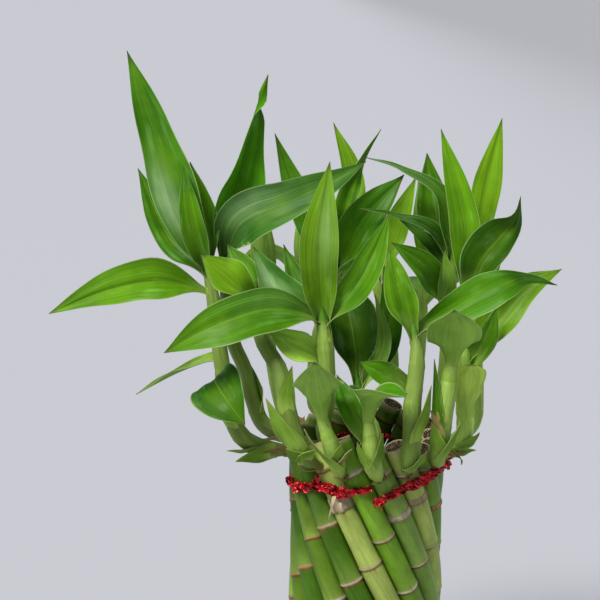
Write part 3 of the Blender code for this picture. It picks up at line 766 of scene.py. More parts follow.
def add_cane_end(surface, index, top, own):
    """The cut top of a cane: a pale rim round dark, slightly sunken pith."""
    start = len(surface.points) - CANE_SKIN_SIDES
    centre, direction, outward, other = cane_frame(index, top)
    rings = [[(surface.points[start + k], surface.places[start + k], surface.tints[start + k])
              for k in range(CANE_SKIN_SIDES)]]
    for share, sink, tone in ((0.9, 0.0, END_TONE), (0.8, -0.25, PITH_TONE),
                              (0.4, -0.45, PITH_TONE)):
        ring = []
        for k, turn in round_turns(CANE_SKIN_SIDES):
            away = turned(outward, other, turn)
            point = centre + away * CANE_SKIN_RADIUS * share + direction * sink
            ring.append((point, (share, k / CANE_SKIN_SIDES), (*tone, own)))
        rings.append(ring)
    first = surface.skin(rings, slot=1)
    middle = (centre - direction * 0.5, (0.0, 0.0), (*PITH_TONE, own))
    surface.fan(first + 3 * CANE_SKIN_SIDES, CANE_SKIN_SIDES, middle, slot=1)


def add_collar(surface, index, rise, drop, ragged, tone):
    """What is left of a dry sheath round a cane's first node: a thin, torn sleeve."""
    own = random.Random(COLLAR_SEED + index).random()
    node = TIE_HEIGHT - FIRST_NODE_DROPS[index]
    outer = []
    inner = []
    for row in range(COLLAR_ROWS):
        share = row / (COLLAR_ROWS - 1)
        skins = ([], [])
        for k, turn in round_turns(CANE_SKIN_SIDES):
            aside = Vector((math.cos(turn), math.sin(turn), index * 3.0))
            tear = ragged * (noise.noise(aside * 2.2) + 0.5 * noise.noise(aside * 7.0))
            height = node + rise + 0.6 * tear - share * drop * (0.75 + 0.45 * tear)
            centre, _, outward, other = cane_frame(index, height)
            away = turned(outward, other, turn)
            lump = noise.noise(aside * 5.0 + Vector((share, 0.0, 0.0)))
            lift = 0.34 + 0.30 * share ** 3 + 0.10 * lump
            streak = 0.8 + 0.7 * noise.noise(aside * 9.0)
            colour = scale_colour(tone, streak * (1.0 - 0.5 * smooth_step(share, 0.8, 1.0)))
            for skin, depth in zip(skins, (0.0, COLLAR_THICKNESS)):
                skin.append((centre + away * (CANE_SKIN_RADIUS + lift - depth),
                             (k / CANE_SKIN_SIDES, share), (*colour, own)))
        outer.append(skins[0])
        inner.append(skins[1])
    surface.skin(outer + inner[::-1] + [outer[0]])


def add_shred(surface, line, width):
    """A loose strip of dry sheath."""
    path = smooth_curve([seen(*point) for point in line], 9)
    side = Vector((1.0, 0.0, 0.15))
    back = Vector((0.0, COLLAR_THICKNESS, 0.0))
    rings = []
    for i, point in enumerate(path):
        t = i / (len(path) - 1)
        half = 0.5 * width * (1.0 - 0.8 * t) * (1.0 + 0.3 * math.sin(11.0 * t))
        colour = scale_colour(END_TONE, 1.3 - 0.5 * t)
        corners = (point - side * half, point + side * half,
                   point + side * half + back, point - side * half + back)
        rings.append([(corner, (0.1 * k, t), (*colour, 0.4)) for k, corner in enumerate(corners)])
    first = surface.skin(rings)
    for start in (first, first + 4 * (len(rings) - 1)):
        surface.add_face((start, start + 1, start + 2, start + 3))


# Leaves and stems

FRONT = (0.0, 0.25, 0.97)
BEHIND = (0.0, 0.8, -0.6)
NO_SPIN = (0.0, 1.0, 0.0)


def leaf_width(t, peak, root):
    """Share of a leaf's full width at t, from its root at 0 to its drawn-out tip at 1."""
    if t < peak:
        return root + (1.0 - root) * math.sin(0.5 * math.pi * t / peak) ** 1.3
    late = (t - peak) / (1.0 - peak)
    return max(math.cos(0.5 * math.pi * late), 0.0) ** 0.9 * (1.0 - 0.3 * late ** 3)


def leaf(points, width, face=FRONT, *, tone, roll=(0, 0), spin=NO_SPIN, peak=0.42, root=0.42,
         fold=14, clasp=14.0, wave=0.7, back=0.55, painted_light_spot=None):
    """The description of one leaf, in the front view's millimetres.

    A roll turns the blade evenly from root to tip, a spin turns it between two shares of its
    length, and a spot is a soft patch of painted light: its place, spread, side, strength and
    tone. Without a tone it is a painted highlight, with a pale tone painted light, with a dark
    one painted shade.
    """
    return dict(points=points, width=width, face=face, roll=roll, spin=spin, peak=peak,
                root=root, fold=fold, tone=tone, clasp=clasp, wave=wave, back=back,
                painted_light_spot=painted_light_spot)


def bract(base, tip, width, tone="bract"):
    """The description of a pointed scale that hugs the stem."""
    return dict(points=[base, tip], width=width, tone=tone)


# A shoot's shade value is painted light and shade: below 1 it darkens a shoot that stands in shade,
# above 1 it lightens a lit one.
def shoot(name, cane, stem, leaves, outward=0, above=0, radii=(3.4, 2.8), shade=1.0, young=0.95):
    """The description of one shoot: how far round its cane and how high it starts, the radii of
    its stem at the foot and the top, its stem's brightness and how green the stem's tip is.
    """
    return dict(name=name, cane=cane, stem=stem, leaves=leaves, outward=outward, above=above,
                radii=radii, shade=shade, young=young)


SHOOTS = [
    shoot("shoot_left", -3, [(-50, 10, 5), (-60, 19, 8), (-66, 46, 9), (-70, 76, 8),
                             (-73, 91, 7)], [
        leaf([(-73, 88, 7), (-85, 116, 11), (-95, 147, 10), (-110, 192, 2)], 20.5,
             peak=0.38, tone="deep", wave=1.5, painted_light_spot=(0.29, 0.15, -0.35, 0.85)),
        leaf([(-74, 90, 10), (-80, 112, 17), (-84, 139, 16)], 11, tone="mid"),
        leaf([(-72, 90, 5), (-75, 117, -1), (-81, 141, -5)], 13, tone="mid"),
        leaf([(-75, 89, 5), (-91, 107, -6), (-105, 138, -12)], 14, tone="deep"),
        leaf([(-72, 82, 9), (-96, 86, 14), (-119, 82, 18), (-146, 71, 20)], 19, peak=0.38,
             root=0.08, tone="fresh", wave=1.2),
        leaf([(-69, 50, 8), (-83, 46, 2), (-92, 42, -1), (-106, 34, -4)], 9,
             roll=(50, 75), tone="pale"),
        leaf([(-64, 38, 10), (-70, 41, 26), (-64, 31, 38), (-55.7, 20, 42)], 25,
             (-0.55, 0.6, 0.55), peak=0.5, root=0.35, fold=5, tone="rich", clasp=7.0),
        bract((-52, 12, 7), (-64, 8, 10), 6),
        bract((-47, 9, 6), (-60, 3, 8), 6),
        bract((-62, 24, 10), (-69, 37, 11), 6),
    ], radii=(4.4, 3.1), shade=0.65),
    shoot("shoot_left_back", -4, [(-47, 20, -13), (-52, 31, -13), (-56, 46, -12),
                                  (-62, 62, -9), (-66, 97, -6)], [
        # Painted shade: a dark spot over this leaf's twisted tip, which faces the key light.
        leaf([(-66, 94, -8), (-63, 118, -11), (-58.5, 132, -13), (-51, 163, -16),
              (-45, 181, -17)], 22, roll=(5, 80), spin=(0.76, 0.93, 90), peak=0.3,
             fold=34, tone="vivid", back=0.0, painted_light_spot=(0.89, 0.12, 0.0, 0.95, "rich")),
        leaf([(-66, 94, -4), (-58, 112, 2), (-37, 122, 9), (-15, 132, 10), (0, 141, 6)],
             23, roll=(5, -5), peak=0.32, root=0.35, tone="blue",
             painted_light_spot=(0.30, 0.16, -0.45, 0.40)),
        bract((-50, 30, -12), (-54, 48, -14), 7),
    ], radii=(4.0, 2.8), shade=0.5),
    shoot("shoot_front_left", -1, [(-30, 8, 36), (-34, 18, 36), (-37, 31, 35), (-40, 45, 32),
                                   (-48, 60, 25), (-50, 78, 20)], [
        leaf([(-50, 75, 20), (-60, 84, 26), (-76, 98, 24)], 18, tone="bright"),
        leaf([(-50, 76, 18), (-56, 90, 11), (-64, 103, 5)], 12, tone="mid"),
        bract((-32, 12, 38), (-46, 32, 40), 7),
        bract((-29, 6, 38), (-37, 9, 43), 7),
        bract((-37, 30, 35), (-34, 47, 38), 5),
        bract((-29, 8, 37), (-22, 8, 42), 5),
    ], outward=-8, above=2, radii=(4.4, 3.2), shade=0.6),
    shoot("shoot_middle", -2, [(-20, 17, 12), (-18, 30, 20), (-18, 44, 24), (-19, 58, 26),
                               (-20, 70, 27)], [
        leaf([(-20, 66, 28), (-21, 96, 38), (-19, 122, 41), (-16.6, 141, 38)], 17,
             tone="bright", painted_light_spot=(0.62, 0.2, 0.25, 0.35)),
        leaf([(-19, 67, 28), (-2, 88, 33), (11, 117, 33)], 14, tone="mid"),
        leaf([(-22, 68, 28), (-44, 73, 38), (-70, 65, 42), (-93, 53, 40)], 21.5, peak=0.5,
             root=0.25, tone="mid", wave=1.2, painted_light_spot=(0.35, 0.2, 0.5, 0.12)),
        leaf([(-22, 68, 25), (-42, 85, 25), (-52, 102, 20)], 14, tone="blue",
             painted_light_spot=(0.55, 0.28, -0.2, 0.75)),
        # Painted light: a broad spot of lit yellow-green over this leaf, which faces down into
        # shade.
        leaf([(-19, 50, 27), (-34, 57, 31), (-45, 64, 31)], 14, tone="vivid", back=0.1,
             painted_light_spot=(0.5, 0.6, 0.0, 0.5, "painted_lit_green")),
        leaf([(-20, 66, 24), (-32, 86, 12), (-38, 103, 6)], 10, tone="deep"),
    ], outward=180, above=4, radii=(3.0, 4.2)),
    shoot("shoot_front_1", 0, [(-14, 4, 44), (-17, 13, 47), (-20, 21, 47), (-21, 27, 48)], [
        leaf([(-21, 23, 48), (-23, 34, 64), (-24, 49, 84)], 23.5, (0, 1, -0.2), peak=0.31,
             root=0.4, tone="fresh", back=0.7),
        bract((-14, 1, 47), (-28.5, 18, 50), 7),
        bract((-14, 4, 48), (-11.5, 11, 52), 5),
        bract((-12, 2, 48), (-6.5, 9, 49), 2.6, "paper"),
    ], outward=-35, radii=(3.8, 3.8), young=0.0),
    shoot("shoot_front_2", 1, [(3, 2, 48), (2, 12, 50), (1, 20, 49), (1, 26, 50)], [
        leaf([(1, 22, 50), (5, 32, 65), (18.5, 33, 83)], 25, (0, 1, -0.1), peak=0.38,
             root=0.4, tone="leafy", back=0.6),
        leaf([(-1, 12, 49), (-7.5, 28, 48), (-13.5, 43, 38)], 10, tone="deep"),
        bract((3, 3, 50), (7.5, 16, 53), 5),
        bract((3, 2, 50), (-4, 12, 53), 5),
    ], outward=-22, above=-1, radii=(4.0, 3.9), young=0.0),
    shoot("shoot_inner", 1, [(4, 16, 20), (0, 25, 18), (-3, 33, 15), (-4, 40, 14)], [
        leaf([(-4, 37, 14), (-5, 54, 12), (-8, 72, 8), (-13, 88, 4)], 24, peak=0.55,
             root=0.25, tone="dark"),
        leaf([(-3, 36, 16), (6, 50, 17), (8, 62, 17), (4, 80, 16)], 7, tone="pale"),
        leaf([(-3, 38, 13), (8, 56, 8), (11, 74, 6), (8, 94, 4)], 13, tone="rich"),
    ], outward=180, above=4, radii=(3.0, 2.8)),
    shoot("shoot_front_3", 2, [(20.5, 3, 40), (21, 14, 41), (21.5, 30, 41), (23.5, 50, 39),
                               (22, 63, 37)], [
        leaf([(21, 60, 38), (15, 82, 41), (11, 101, 40)], 14, tone="fresh"),
        leaf([(22, 61, 37), (44, 75, 38), (62, 84, 40), (75, 88, 41), (88, 84, 41)], 16,
             spin=(0.60, 0.82, 68), tone="leafy"),
        leaf([(19, 37, 42), (6, 44, 46), (-3, 49, 46)], 11, tone="mid"),
        bract((22, 1, 42), (28, 8, 46), 6),
        bract((21, 15, 42), (30, 38, 43), 4.5),
    ], outward=-21, above=1, radii=(4.5, 3.3), shade=0.8),
    shoot("shoot_front_4", 3, [(33, 5, 29), (34.5, 14, 31), (36, 27, 31), (38, 40, 30),
                               (40, 51, 31)], [
        leaf([(40, 48, 31), (41, 59, 46), (40.5, 73, 66)], 24, (0, 1, -0.2), peak=0.42,
             root=0.6, tone="fresh", clasp=10.0, back=0.6),
        bract((33, 7, 32), (43, 21, 35), 6),
        bract((33, 9, 32), (30, 21, 35), 5),
        bract((35, 15, 30), (31.5, 50, 29), 3.6, "deep"),
        bract((33, 16, 33), (29.5, 27, 33), 2.6, "paper"),
        bract((35, 22, 33), (31, 30, 33), 2.2, "paper"),
    ], outward=6, radii=(3.8, 4.4), young=0.0, shade=0.85),
    shoot("shoot_right", 4, [(45, 15, 10), (45, 35, 13), (44, 52, 13), (45, 70, 13),
                             (46, 84, 12)], [
        leaf([(46, 80, 12), (45, 114, 16), (34.5, 156, 16)], 13.5, tone="fresh"),
        leaf([(46, 80, 13), (52, 94, 18), (60.5, 105, 21), (68.5, 114, 23),
              (71.2, 125, 24)], 18, spin=(0.6, 0.95, 60), peak=0.40, tone="rich",
             wave=1.8),
        leaf([(46, 80, 10), (56, 90, 6), (63, 97, 4)], 9, tone="pale"),
        leaf([(45, 50, 12), (57, 65, 11), (72, 82, 10), (90, 91.5, 10)], 17,
             tone="bright", wave=1.2, back=0.15),
        leaf([(46, 46, 14), (55, 60, 18), (60, 74, 19)], 11, roll=(0, 20), tone="mid"),
        # Painted light: this leaf faces down into shade and takes a tone as bright as if lit.
        leaf([(45.5, 28, 14), (47, 38, 20), (48.5, 48, 25)], 17, (0, 1, -0.2), peak=0.75,
             root=0.5, tone="painted_lit_green", clasp=6.0, back=0.0),
        bract((45, 12, 12), (52, 16.5, 15), 5),
        bract((43, 8, 11), (50.5, 8.5, 14), 5),
        bract((42, 6, 12), (44, 1.5, 17), 4),
    ], outward=15, above=-1, radii=(4.2, 3.2), shade=1.5),
    shoot("shoot_right_back", 5, [(49, 20, -8), (51, 36, -8), (50, 58, -8), (50, 80, -9),
                                  (51, 100, -9)], [
        leaf([(51, 97, -9), (54, 122, -10), (62.6, 161, -12)], 13, tone="bright"),
        leaf([(51, 88, -12), (58, 104, -30), (60, 98, -52)], 14, BEHIND, tone="mid"),
    ], above=-2),
    shoot("shoot_back_right", 6, [(33, 24, -28), (36, 44, -22), (38, 72, -12), (40, 98, -7)], [
        leaf([(40, 94, -5), (34, 125, 0), (15, 138, 2), (0, 143, 2)], 13, roll=(10, 65),
             tone="leafy"),
        leaf([(40, 94, -8), (32, 119, -16), (28, 145, -20)], 17, tone="mid"),
        leaf([(39, 92, -5), (30, 110, 0), (14, 116, 6), (-3, 119.5, 9)], 9,
             roll=(30, 50), tone="rich"),
        leaf([(38, 86, -6), (33, 99, -8), (25, 108, -8), (13, 117, -7)], 8, tone="blue"),
        leaf([(38, 72, -8), (37, 86, 0), (36, 100, 2)], 9, tone="pale"),
        leaf([(38, 76, -9), (28, 92, 4), (11.5, 104, 8)], 14, tone="mid"),
        leaf([(38, 80, -12), (26, 105, -20), (24, 133, -24)], 8, tone="bright"),
    ]),
    shoot("shoot_back_left", -6, [(-24, 30, -34), (-23, 56, -24), (-17, 78, -14), (-14, 92, -9)], [
        leaf([(-15, 88, -10), (-30, 122, -18), (-42, 154, -24)], 13, tone="deep"),
        leaf([(-13, 90, -11), (-6, 130, -17), (-15, 159, -22)], 12, tone="bright"),
        leaf([(-14, 88, -8), (-9, 122, -7), (-1, 143, -8), (7, 156, -8)], 10,
             spin=(0.45, 0.75, 65), tone="mid"),
        leaf([(-13, 86, -6), (-2, 113, -1), (17.5, 135, 0)], 19, tone="leafy"),
        leaf([(-13, 82, -6), (-4, 92, 2), (4, 101, 4)], 12, tone="deep"),
    ]),
    shoot("shoot_rear_1", 7, [(22, 30, -42), (25, 60, -44), (26, 86, -42)], [
        leaf([(26, 82, -42), (29, 104, -42), (30, 125, -42)], 13, BEHIND, tone="bright"),
        leaf([(26, 82, -43), (38, 98, -60), (46, 100, -82)], 17, BEHIND, tone="mid"),
        leaf([(26, 76, -42), (44, 90, -46), (60, 96, -52)], 14, BEHIND, tone="deep"),
        leaf([(25, 72, -45), (20, 88, -64), (10, 84, -88)], 15, BEHIND, tone="mid"),
    ]),
    shoot("shoot_rear_2", 8, [(7, 32, -46), (12, 46, -49), (10, 66, -52), (3, 92, -54)], [
        leaf([(3, 88, -54), (-4, 108, -58), (-12, 125, -62)], 14, BEHIND, tone="mid"),
        leaf([(3, 88, -56), (-4, 104, -78), (-8, 98, -104)], 18, BEHIND, tone="bright"),
        leaf([(4, 86, -54), (13, 108, -58), (23, 134, -60)], 13, tone="bright"),
        leaf([(10, 66, -54), (14, 76, -74), (22, 62, -94)], 14, BEHIND, tone="mid"),
    ]),
    shoot("shoot_rear_3", -7, [(-14, 32, -46), (-20, 60, -50), (-23, 84, -51)], [
        leaf([(-23, 80, -52), (-42, 98, -64), (-60, 94, -80)], 17, BEHIND, tone="mid"),
        leaf([(-23, 80, -50), (-28, 104, -54), (-30, 122, -60)], 13, BEHIND, tone="deep"),
        leaf([(-22, 74, -53), (-28, 86, -76), (-32, 74, -98)], 15, BEHIND, tone="bright"),
    ]),
    shoot("shoot_rear_4", -5, [(-38, 26, -32), (-44, 54, -34), (-46, 82, -33)], [
        leaf([(-46, 78, -34), (-58, 94, -52), (-72, 88, -76)], 16, BEHIND, tone="mid"),
        leaf([(-46, 78, -32), (-48, 104, -34), (-46, 124, -36)], 12, BEHIND, tone="deep"),
        leaf([(-45, 64, -36), (-54, 76, -56), (-56, 64, -80)], 14, BEHIND, tone="mid"),
    ]),
]


def nearest_place(path, point, first=3):
    """Number of the path's point that is nearest to a point."""
    return min(range(first, len(path)), key=lambda i: (path[i] - point).length)


def stem_path(plan):
    """A stem's centre line and radii, from inside its cane to its tip."""
    height = root_height(plan["cane"]) + plan["above"]
    centre = cane_point(plan["cane"], height)
    turn = cane_angle(plan["cane"], height) + math.radians(plan["outward"])
    away = ring_point(turn, 1.0, 0.0)
    start = centre + away * (CANE_SKIN_RADIUS + 0.6 * ROOT_LENGTH)
    root = [centre + away, start + Vector((0.0, 0.0, 1.2))]
    path = smooth_curve(root + [seen(*p) for p in plan["stem"]], STEM_STEPS)
    joints = [nearest_place(path, seen(*part["points"][0])) for part in plan["leaves"]]
    path = path[:max(joints) + STEM_TIP_STEPS]
    first, last = plan["radii"]
    radii = []
    length = path_length(path)
    for i in range(len(path)):
        t = i / (len(path) - 1)
        radius = first + (last - first) * t
        radius *= 0.50 + 0.50 * smooth_step(t * length, 2.0, 17.0)
        radius *= 1.0 - 0.5 * smooth_step((1.0 - t) * length, 16.0, 0.0)
        radii.append(radius)
    onward = (path[-1] - path[-2]).normalized() * SPEAR_STEP
    last = radii[-1]
    for i in range(SPEAR_STEPS):
        path.append(path[-1] + onward)
        radii.append(last * (1.0 - 0.92 * ((i + 1) / SPEAR_STEPS) ** 0.7))
    return path, radii


def add_stem(surface, path, radii, own, rings_at, shade, green):
    """The skin of a stem, with a faint ridge where each sheath starts, painted shade and a rolled
    tip.
    """
    along = tangents(path)
    side = flat_to(Vector((0.3, -0.9, 0.1)), along[0]).normalized()
    length = path_length(path)
    rings = []
    for i, (point, direction, radius) in enumerate(zip(path, along, radii)):
        side = flat_to(side, direction).normalized()
        other = direction.cross(side)
        place = path_length(path[:i + 1])
        wide = radius + sum(0.18 * bell(place - at, 0.7) for at in rings_at)
        # Painted shade: the stem is darker near its root among the canes, and the shoot's painted
        # light and shade scales it.
        tone = scale_colour(STEM_TONE, shade * (0.82 + 0.18 * smooth_step(place, 5.0, 25.0)))
        young = smooth_step(place, length - SPEAR_STEPS * SPEAR_STEP - 7.0,
                            length - SPEAR_STEPS * SPEAR_STEP + 1.0)
        tone = blend_colour(tone, LEAF_TONES["mid"], green * young)
        tone = blend_colour(LEAF_TONES["paper"], tone, smooth_step(place, 2.5, 5.0))
        # A seam wanders up the stem as a narrow dark groove, with painted shade over the stem's
        # side on one side of it.
        seam = 0.15 + 0.9 * noise.noise(Vector((20.0 * own, 0.03 * place, 0.0)))
        ring = []
        for k in range(STEM_SIDES):
            turn = 2.0 * math.pi * (k if 2 * k < STEM_SIDES else k - STEM_SIDES) / STEM_SIDES
            groove = green * bell(turn - seam, 0.13) * smooth_step(place, 6.0, 16.0)
            sunk = wide - 0.15 * groove
            shown = scale_colour(tone, 1.05 - 0.22 * green * smooth_step(seam - turn, -0.05, 0.3)
                                 - 0.30 * groove)
            spot = point + turned(side, other, turn) * sunk
            ring.append((spot, (k / STEM_SIDES, place), (*shown, own)))
        rings.append(ring)
    first = surface.skin(rings)
    surface.fan(first, STEM_SIDES, (path[0], (0.0, 0.0), (*STEM_TONE, own)))
    last = first + (len(path) - 1) * STEM_SIDES
    surface.fan(last, STEM_SIDES, (path[-1] + along[-1] * 0.8, (0.0, length),
                                   (*LEAF_TONES["mid"], own)))


def leaf_turns(path, along, first_normal, face, roll, spin, clasp, length):
    """The direction that the leaf's upper side faces at each step of its path."""
    carried = []
    normal = first_normal
    angles = []
    for i, direction in enumerate(along):
        t = i / (len(along) - 1)
        normal = flat_to(normal, direction).normalized()
        carried.append(normal)
        goal = flat_to(face, direction).normalized()
        on_blade = max((length * t - clasp) / (length - clasp), 0.0)
        spun = spin[2] * smooth_step(on_blade, spin[0], spin[1])
        turn = math.radians(roll[0] + (roll[1] - roll[0]) * t + spun)
        goal = turned(goal, direction.cross(goal), turn)
        angles.append(math.atan2(direction.dot(normal.cross(goal)), normal.dot(goal)))
    steady = len(along) // 2
    full = 2.0 * math.pi
    for i in range(steady + 1, len(along)):
        angles[i] += full * round((angles[i - 1] - angles[i]) / full)
    for i in range(steady - 1, -1, -1):
        angles[i] += full * round((angles[i + 1] - angles[i]) / full)
    result = []
    for i, direction in enumerate(along):
        place = length * i / (len(along) - 1)
        share = smooth_step(place, 0.5 * clasp, max(2.2 * clasp, 0.38 * length))
        result.append(turned(carried[i], direction.cross(carried[i]), angles[i] * share))
    return result


def leaf_start(plan, stem, radii, order, face):
    """Where a leaf's sheath runs: three points up the stem, its side, and its radii."""
    along = tangents(stem)
    step = path_length(stem[:-SPEAR_STEPS]) / (len(stem) - SPEAR_STEPS - 1)
    base, second = [seen(*p) for p in plan["points"][:2]]
    joint = nearest_place(stem, base)
    low = max(joint - int(round(plan["clasp"] / step)), 1)
    middle = (low + joint) // 2
    up = along[joint]
    out = flat_to((second - stem[joint]).normalized(), up) - 0.6 * flat_to(face, up)
    out = out.normalized() if out.length > 0.05 else up.orthogonal().normalized()
    layer = SHEATH_GAP + SHEATH_LAYER * order
    points = [stem[low] + flat_to(out, along[low]).normalized() * (radii[low] - 0.45),
              stem[middle] + out * (radii[middle] + 0.05),
              stem[joint] + out * (radii[joint] + layer)]
    return points, out, (radii[low], max(radii[middle], 1.6) + layer, radii[joint])


def curled(point, side, normal, bend, arc):
    """A place on a strip that curls round its path, and the direction into the strip."""
    turn = bend * arc
    across = math.sin(turn) / bend if turn else arc
    rise = (1.0 - math.cos(turn)) / bend if turn else 0.0
    return point + side * across + normal * rise, turned(normal, -side, turn)


def leaf_chances(draw):
    """What chance gives a leaf."""
    return dict(brightness=draw.uniform(0.88, 1.12), own=draw.random(),
                phases=[draw.uniform(0.0, 2.0 * math.pi) for _ in range(3)],
                waves=draw.uniform(1.3, 2.2), plies=draw.choice((2.0, 3.0)),
                lop=draw.uniform(-0.10, 0.10), bulges=draw.uniform(0.0, 20.0))


def leaf_lift(plan, chances, arc, s, t, uncurled, fade):
    """Rise of a leaf's surface over its curl: its fold, its plies, its rib and waved edges."""
    fold = math.tan(math.radians(plan["fold"])) * uncurled
    lift = fold * (math.hypot(arc, 0.5) - 0.5)
    lift += fade * LEAF_RIPPLE * math.cos(chances["plies"] * math.pi * s + chances["phases"][0])
    lift -= fade * LEAF_RIB * bell(s, 0.12)
    edge = chances["phases"][1 if s < 0.0 else 2]
    wave = math.sin(2.0 * math.pi * chances["waves"] * t + edge)
    return lift + fade * plan["wave"] * s * s * wave


def leaf_colours(plan, green, t, on_blade, s, share, uncurled):
    """Colours of a leaf's upper side and underside at one point, with its painted spot."""
    colour = green
    if plan["painted_light_spot"]:
        middle, spread, aside, strength, *painted_tone = plan["painted_light_spot"]
        painted_light_share = bell(on_blade - middle + 0.08 * s, spread)
        painted_light_share *= 1.0 if painted_tone else bell(s - aside, 0.45)
        # Without a tone the spot mixes in a pale painted highlight; with one it mixes in that tone,
        # pale for painted light, dark for painted shade.
        gloss = LEAF_TONES[painted_tone[0]] if painted_tone else PAINTED_HIGHLIGHT_TONE
        colour = blend_colour(colour, gloss, strength * painted_light_share)
    tip = smooth_step(t + 0.01 * s * s, 0.955, 0.99) * smooth_step(share, 0.45, 0.25)
    colour = blend_colour(colour, TIP_TONE, 0.85 * tip)
    dull = blend_colour(colour, UNDERSIDE_AND_SHINE_THROUGH_TONE, plan["back"] * uncurled * (1.0 - tip))
    return colour, dull


def add_leaf(surface, plan, stem, radii, draw, order, shade):
    """One leaf: a sheath that clasps the stem and opens into a thin blade."""
    face = seen_direction(*plan["face"]).normalized()
    start, out, (low, hold, high) = leaf_start(plan, stem, radii, order, face)
    path = smooth_curve(start + [seen(*p) for p in plan["points"][1:]], LEAF_STEPS)
    along = tangents(path)
    length = path_length(path)
    clasp = path_length(start)
    normals = leaf_turns(path, along, -out, face, plan["roll"], plan["spin"], clasp, length)
    chances = leaf_chances(draw)
    tone = scale_colour(LEAF_TONES[plan["tone"]], chances["brightness"])
    # The sheath takes the shoot's painted light and shade from its stem.
    sheath = scale_colour(STEM_TONE, shade)
    root = plan["root"]
    if root > NARROW_ROOT:
        root = min(max(root, SHEATH_WRAP * hold / plan["width"]), WIDEST_ROOT)
    rings = []
    for i, (point, direction, normal) in enumerate(zip(path, along, normals)):
        t = i / (LEAF_STEPS - 1)
        place = length * t
        side = direction.cross(normal)
        on_blade = max((place - clasp) / (length - clasp), 0.0)
        opened = smooth_step(place, 0.3 * clasp, 1.5 * clasp)
        uncurled = smooth_step(place, 0.6 * clasp, 2.6 * clasp)
        bulge = noise.noise(Vector((chances["bulges"], 4.0 * t, 0.0)))
        share = leaf_width(on_blade, plan["peak"], root)
        share *= 1.0 + LEAF_BULGE * arch(on_blade) * bulge
        along_clasp = min(place / clasp, 1.0)
        hug = low + (high - low) * along_clasp
        hug += SHEATH_GAP - SHEATH_SINK * (1.0 - smooth_step(along_clasp, 0.0, 0.5))
        wrap = (SHEATH_WRAP - SHEATH_UNWRAP * along_clasp) * hug
        half = max(wrap + (0.5 * plan["width"] * share - wrap) * opened, 0.12)
        bend = (1.0 - uncurled) / max(hug, 1.4)
        fade = arch(on_blade) * uncurled
        green = blend_colour(sheath, tone, smooth_step(place, 0.9 * clasp, 1.6 * clasp + 6.0))
        top = []
        under = []
        for k in range(LEAF_COLUMNS):
            s = 2.0 * k / (LEAF_COLUMNS - 1) - 1.0
            arc = s * half * (1.0 + chances["lop"] * s)
            spot, inward = curled(point, side, normal, bend, arc)
            spot += normal * leaf_lift(plan, chances, arc, s, t, uncurled, fade)
            thick = LEAF_THICKNESS * (1.0 - 0.45 * s * s)
            colour, dull = leaf_colours(plan, green, t, on_blade, s, share, uncurled)
            where = (0.5 + 0.5 * s, t)
            top.append((spot, where, (*colour, chances["own"])))
            under.append((spot - inward * thick, where, (*dull, chances["own"])))
        rings.append(top + under[::-1])
    surface.sheet(rings, [0] * LEAF_COLUMNS + [1] * (LEAF_COLUMNS - 1) + [0])


def add_scale(surface, stem, radii, joint, tip, width, tone, draw):
    """A pointed scale: it wraps the stem at its foot and narrows to a free tip."""
    up = tangents(stem)[joint]
    lean = flat_to(tip - stem[joint], up).normalized()
    outer = flat_to(Vector((stem[joint].x, stem[joint].y, 0.0)), up).normalized()
    facing = flat_to(seen_direction(0.0, 0.0, 1.0), up).normalized()
    out = (lean + 0.8 * outer + 0.7 * facing).normalized()
    low = max(joint - 3, 0)
    hold = radii[joint] + 0.2
    reach = (tip - stem[joint]).length
    foot = stem[low] + out * (radii[low] - 0.5)
    hip = stem[joint] + out * hold
    middle = hip.lerp(tip, 0.5) + up * 0.08 * reach + out * 0.05 * reach
    path = smooth_curve([foot, hip, middle, tip], SCALE_STEPS)
    along = tangents(path)
    normal = -out
    own = draw.random()
    green = scale_colour(LEAF_TONES[tone], draw.uniform(0.85, 1.1))
    edge = blend_colour(green, LEAF_TONES["paper"], 0.25)
    rings = []
    for i, (point, direction) in enumerate(zip(path, along)):
        t = i / (SCALE_STEPS - 1)
        normal = flat_to(normal, direction).normalized()
        side = direction.cross(normal)
        half = max(width * (1.0 - t) ** 0.8 * (0.85 + 0.25 * math.sin(math.pi * t)), 0.1)
        bend = max(1.0 - 1.9 * t, 0.12) / hold
        top = []
        under = []
        for k in range(SCALE_COLUMNS):
            s = 2.0 * k / (SCALE_COLUMNS - 1) - 1.0
            spot, inward = curled(point, side, normal, bend, half * s)
            spot += normal * 0.25 * s * s * math.sin(9.0 * t + 5.0 * own)
            colour = blend_colour(green, edge, abs(s) ** 6)
            colour = blend_colour(colour, LEAF_TONES["paper"], 0.5 * smooth_step(t, 0.85, 1.0))
            colour = blend_colour(STEM_TONE if tone == "bract" else green, colour,
                                  smooth_step(t, 0.05, 0.4))
            where = (0.5 + 0.5 * s, t)
            top.append((spot, where, (*colour, own)))
            under.append((spot - inward * SCALE_THICKNESS, where, (*colour, own)))
        rings.append(top + under[::-1])
    surface.sheet(rings, [2 if tone == "bract" else 0] * (2 * SCALE_COLUMNS))


def add_dry_scales(surface, stem, radii, draw):
    """Short dry scales round the root of a shoot."""
    along = tangents(stem)
    for _ in range(DRY_SCALES):
        joint = draw.randrange(3, 7)
        up = along[joint]
        turn = draw.uniform(0.0, 2.0 * math.pi)
        side = up.orthogonal().normalized()
        away = turned(side, up.cross(side), turn)
        reach = draw.uniform(3.0, 6.0)
        tip = stem[joint] + away * (radii[joint] + draw.uniform(0.6, 2.2)) + up * reach
        add_scale(surface, stem, radii, joint, tip, draw.uniform(1.3, 2.4), "paper", draw)


